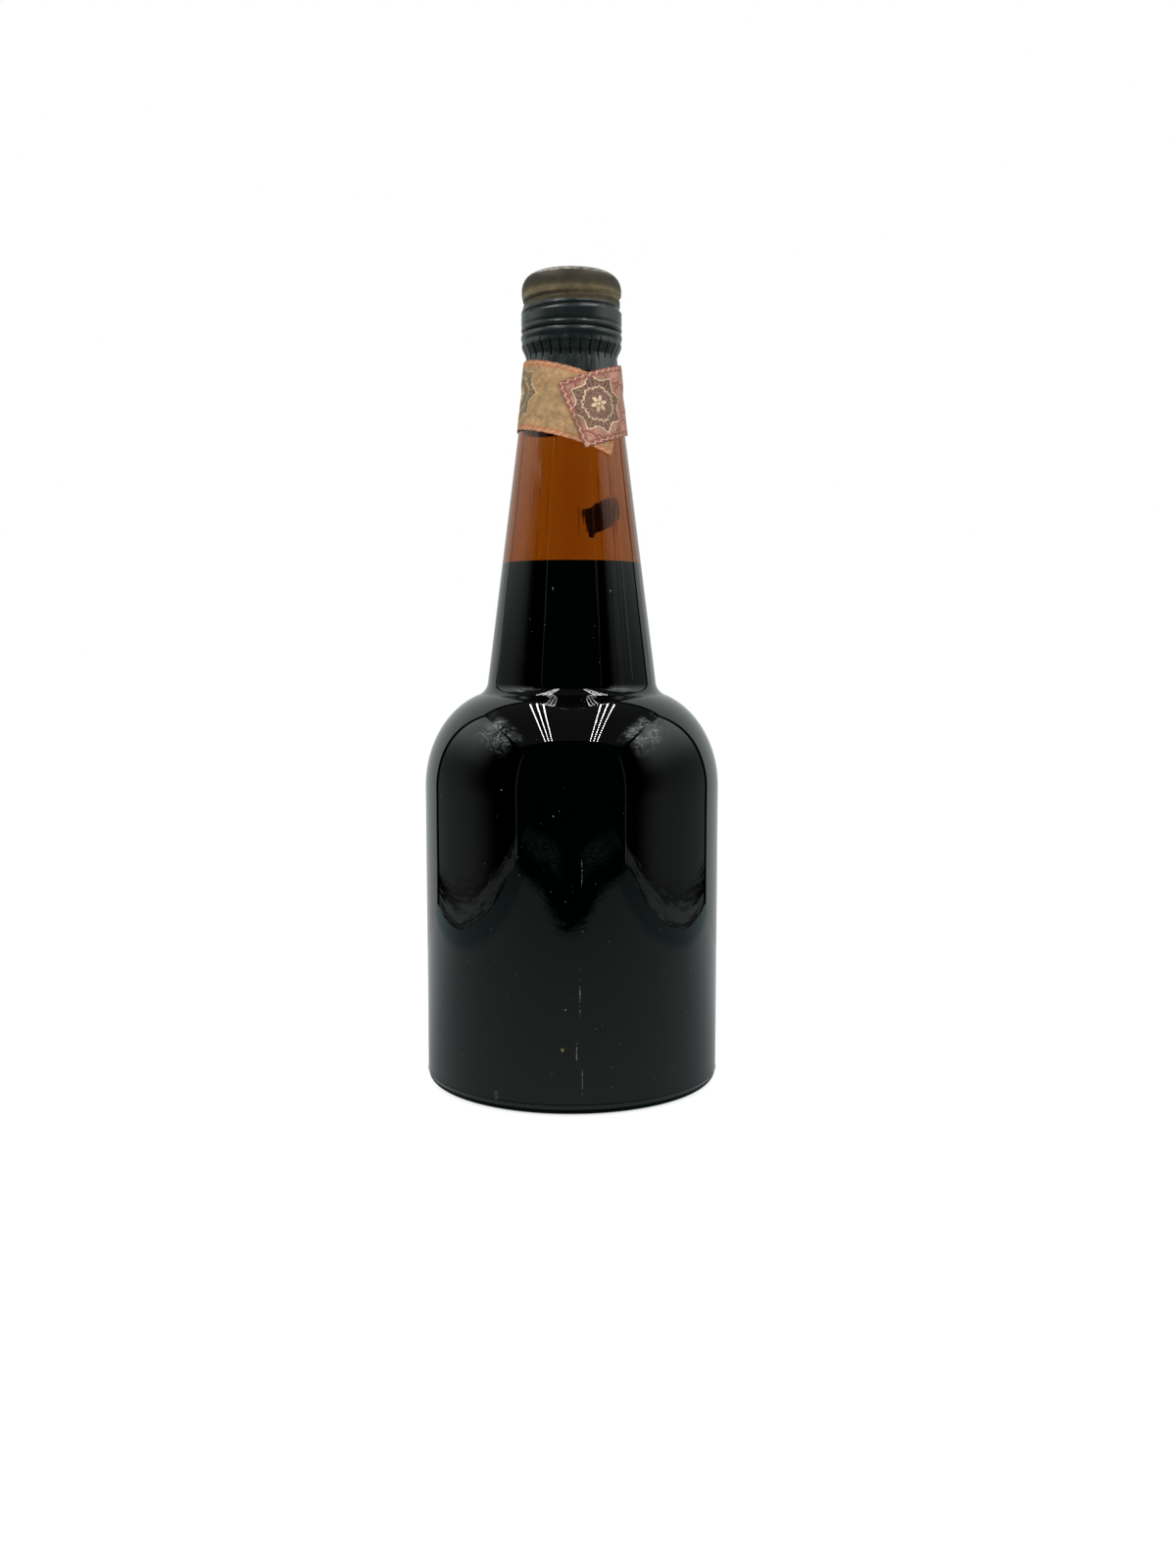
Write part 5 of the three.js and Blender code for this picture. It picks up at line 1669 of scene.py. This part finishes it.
# Geometry Nodes: flat flecks scattered over a surface, thicker where a noise is high
def scatteredFlecksTree():
    tree, given = startTree("scatteredFlecks", "Surface", {
        "Density": 10000.0,
        "Seed": 0,
        "Smallest": 0.00004,
        "Largest": 0.0001,
        "Upright": 1.0,
        "Patch Scale": 40.0,
        "Bareness": 0.45,
    })
    noise = addNode(tree, "ShaderNodeTexNoise",
                    {"Vector": addNode(tree, "GeometryNodeInputPosition"), "Scale": given["Patch Scale"],
                     "Detail": 3.0})
    full = addNode(tree, "ShaderNodeMath", [given["Bareness"], 0.2], operation="ADD")
    amount = addNode(tree, "ShaderNodeMapRange", [noise.outputs[0], given["Bareness"], full, 0.04, 1.0])
    density = addNode(tree, "ShaderNodeMath", [amount, given["Density"]], operation="MULTIPLY")
    points = addNode(tree, "GeometryNodeDistributePointsOnFaces",
                     {"Mesh": given["Surface"], "Density": density, "Seed": given["Seed"]})
    size = addNode(tree, "FunctionNodeRandomValue",
                   {2: given["Smallest"], 3: given["Largest"], "Seed": given["Seed"]}, data_type="FLOAT")
    squash = addNode(tree, "FunctionNodeRandomValue", {2: 0.5, 3: 1.4, "Seed": 7}, data_type="FLOAT")
    wide = addNode(tree, "ShaderNodeMath", [size.outputs[1], squash.outputs[1]], operation="MULTIPLY")
    tall = addNode(tree, "ShaderNodeMath", [size.outputs[1], given["Upright"]], operation="MULTIPLY")
    scale = addNode(tree, "ShaderNodeCombineXYZ", [wide, tall, 0.02 * mm])
    flake = addNode(tree, "GeometryNodeMeshIcoSphere", {"Radius": 1.0, "Subdivisions": 1})
    flakes = addNode(tree, "GeometryNodeInstanceOnPoints",
                     {"Points": points.outputs["Points"], "Instance": flake,
                      "Rotation": points.outputs["Rotation"], "Scale": scale})
    return finishTree(tree, flakes, given["Material"])


# Dry dust and dried drops, and the painted glints and seed rim: dull, with hardly any gloss
def dullDustAndGlint(name, colour):
    material, tree = emptyMaterial(name)
    dust = addNode(tree, "ShaderNodeBsdfPrincipled",
                   {"Base Color": linear(colour), "Roughness": 0.9, "Specular IOR Level": 0.2})
    addNode(tree, "ShaderNodeOutputMaterial", [dust])
    return material


# Pieces of the bottle's outside, each between two angles from -Y and two heights
def outsidePatches(name, areas, columns, rows):
    points, faces = [], []
    for fromAngle, toAngle, low, high in areas:
        start = len(points)
        for z in np.linspace(low, high, rows):
            for a in np.radians(np.linspace(fromAngle, toAngle, columns)):
                points.append(onOutside(bodyRadiusAt(z), a, z))
        for i in range(rows - 1):
            for j in range(columns - 1):
                corner = start + i * columns + j
                faces.append((corner, corner + 1, corner + columns + 1, corner + columns))
    return meshObject(name, points, faces=faces)


dustSettings = {
    "colour": "#8e8f88",
    "streakColour": "#7c7c73",
    "smallest": 0.02,
    "largest": 0.085,
    # Name, lowest and highest z, columns and rows of the surface, flecks per square metre, and seed
    "areas": (("dustOnBody", 8, 124, 90, 40, 42000.0, 1), ("dustOnNeck", 134, 200, 60, 20, 50000.0, 2)),
    "streakDensity": 6e7,
    "streakSeed": 11,
    "streakLargest": 0.07,
    # From and to an angle, from and to a height
    "streaks": ((4.0, 4.2, 70.0, 78.0), (4.2, 4.5, 53.2, 56.8), (3.3, 3.55, 30.0, 48.0),
                (2.1, 2.35, 17.0, 22.5), (4.2, 4.35, 7.0, 15.0)),
}


# Dust all over, and a rubbed upright streak at the back
def makeDust():
    d = dustSettings
    tree = scatteredFlecksTree()
    pale = dullDustAndGlint("houseDustDry", d["colour"])
    worn = dullDustAndGlint("glassScuffRubbed", d["streakColour"])
    for name, low, high, columns, rows, density, seed in d["areas"]:
        piece = grown(name, tree, outsidePatches(name, [(0, 359, low, high)], columns, rows), {
            "Density": density,
            "Seed": seed,
            "Smallest": d["smallest"] * mm,
            "Largest": d["largest"] * mm,
            "Upright": 1.3,
            "Patch Scale": 45.0,
            "Bareness": 0.46,
            "Material": pale,
        })
        settle(piece, "bottle")
    streaks = grown("scuffStreaks", tree, outsidePatches("scuffStreaks", d["streaks"], 2, 30), {
        "Density": d["streakDensity"],
        "Seed": d["streakSeed"],
        "Smallest": d["smallest"] * mm,
        "Largest": d["streakLargest"] * mm,
        "Upright": 5.0,
        "Patch Scale": 350.0,
        "Bareness": 0.5,
        "Material": worn,
    })
    settle(streaks, "bottle")


makeDust()
print("dust ready")

# Drops that have dried on the glass, the last two on the neck being drops whose pale colour is a painted
# glint: x, z, half width, half height, colour
spotsAndPaintedGlints = (
    (-2.4, 20.5, 0.5, 0.6, "#5f553f"),
    (-1.5, 32.7, 0.13, 0.12, "#c9c9c4"),
    (-21.2, 98.1, 0.13, 0.14, "#d8d8d2"),
    (-5.0, 90.7, 0.12, 0.14, "#b0b0aa"),
    (7.6, 26.7, 0.2, 0.16, "#3f403c"),
    # Painted highlights: the glints of two small drops on the neck
    (-5.6, 158.3, 0.1, 0.5, "#6f7470"),
    (12.8, 157.7, 0.1, 0.45, "#8a8e8a"),
)
spotSettings = {"corners": 18, "stand": 0.03, "sunk": 0.1}


# A low closed cone with an uneven outline
def makeSpotAndGlint(number, x, z, wide, tall, colour):
    corners = spotSettings["corners"]
    r = bodyRadiusAt(z)
    points, faces = [], []
    for k in range(corners):
        a = math.tau * k / corners
        bulge = 1 + 0.12 * math.sin(3 * a + number) + 0.08 * math.sin(5 * a)
        points.append(onOutside(r, (x + wide * bulge * math.cos(a)) / r, z + tall * bulge * math.sin(a)))
        faces.append((k, (k + 1) % corners, corners))
        faces.append(((k + 1) % corners, k, corners + 1))
    points.append(onOutside(r + spotSettings["stand"], x / r, z))
    points.append(onOutside(r - spotSettings["sunk"], x / r, z))
    name = "spotAndGlint" + str(number + 1)
    spot = meshObject(name, points, faces=faces)
    spot.data.materials.append(dullDustAndGlint(name, colour))
    settle(spot, "bottle")


for number, spot in enumerate(spotsAndPaintedGlints):
    makeSpotAndGlint(number, *spot)

# A long seed, a bubble that was drawn out in the glass and lies open at its surface: only its rim shows, as a
# grey ring that is a painted reflection of its outline
seedSettings = {
    "x": -22.7,
    "z": 5.0,
    "halfWidth": 0.55,
    "halfHeight": 1.35,
    "rim": 0.17,
    "corners": 24,
    # How far each of the rim's four edges stands from the glass
    "stands": (-0.03, 0.01, -0.03, -0.08),
    # Grey of the rim: a painted reflection round the bubble's outline
    "colour": "#5b5e5c",
}


def makeSeed():
    s = seedSettings
    corners = s["corners"]
    points, faces = [], []
    for inset, stand in zip((0, s["rim"] / 2, s["rim"], s["rim"] / 2), s["stands"]):
        for k in range(corners):
            a = math.tau * k / corners
            z = s["z"] + (s["halfHeight"] - inset) * math.sin(a)
            r = bodyRadiusAt(z)
            turn = math.asin(s["x"] / r) + (s["halfWidth"] - inset) * math.cos(a) / r
            points.append(onOutside(r + stand, turn, z))
    for i in range(4):
        below, above = i * corners, (i + 1) % 4 * corners
        for k in range(corners):
            after = (k + 1) % corners
            faces.append((below + k, below + after, above + after, above + k))
    seed = meshObject("glassSeed", points, faces=faces)
    seed.data.materials.append(dullDustAndGlint("glassSeedPaintedRim", s["colour"]))
    settle(seed, "bottle")


makeSeed()
print("spots and seed ready")

bpy.context.view_layer.update()
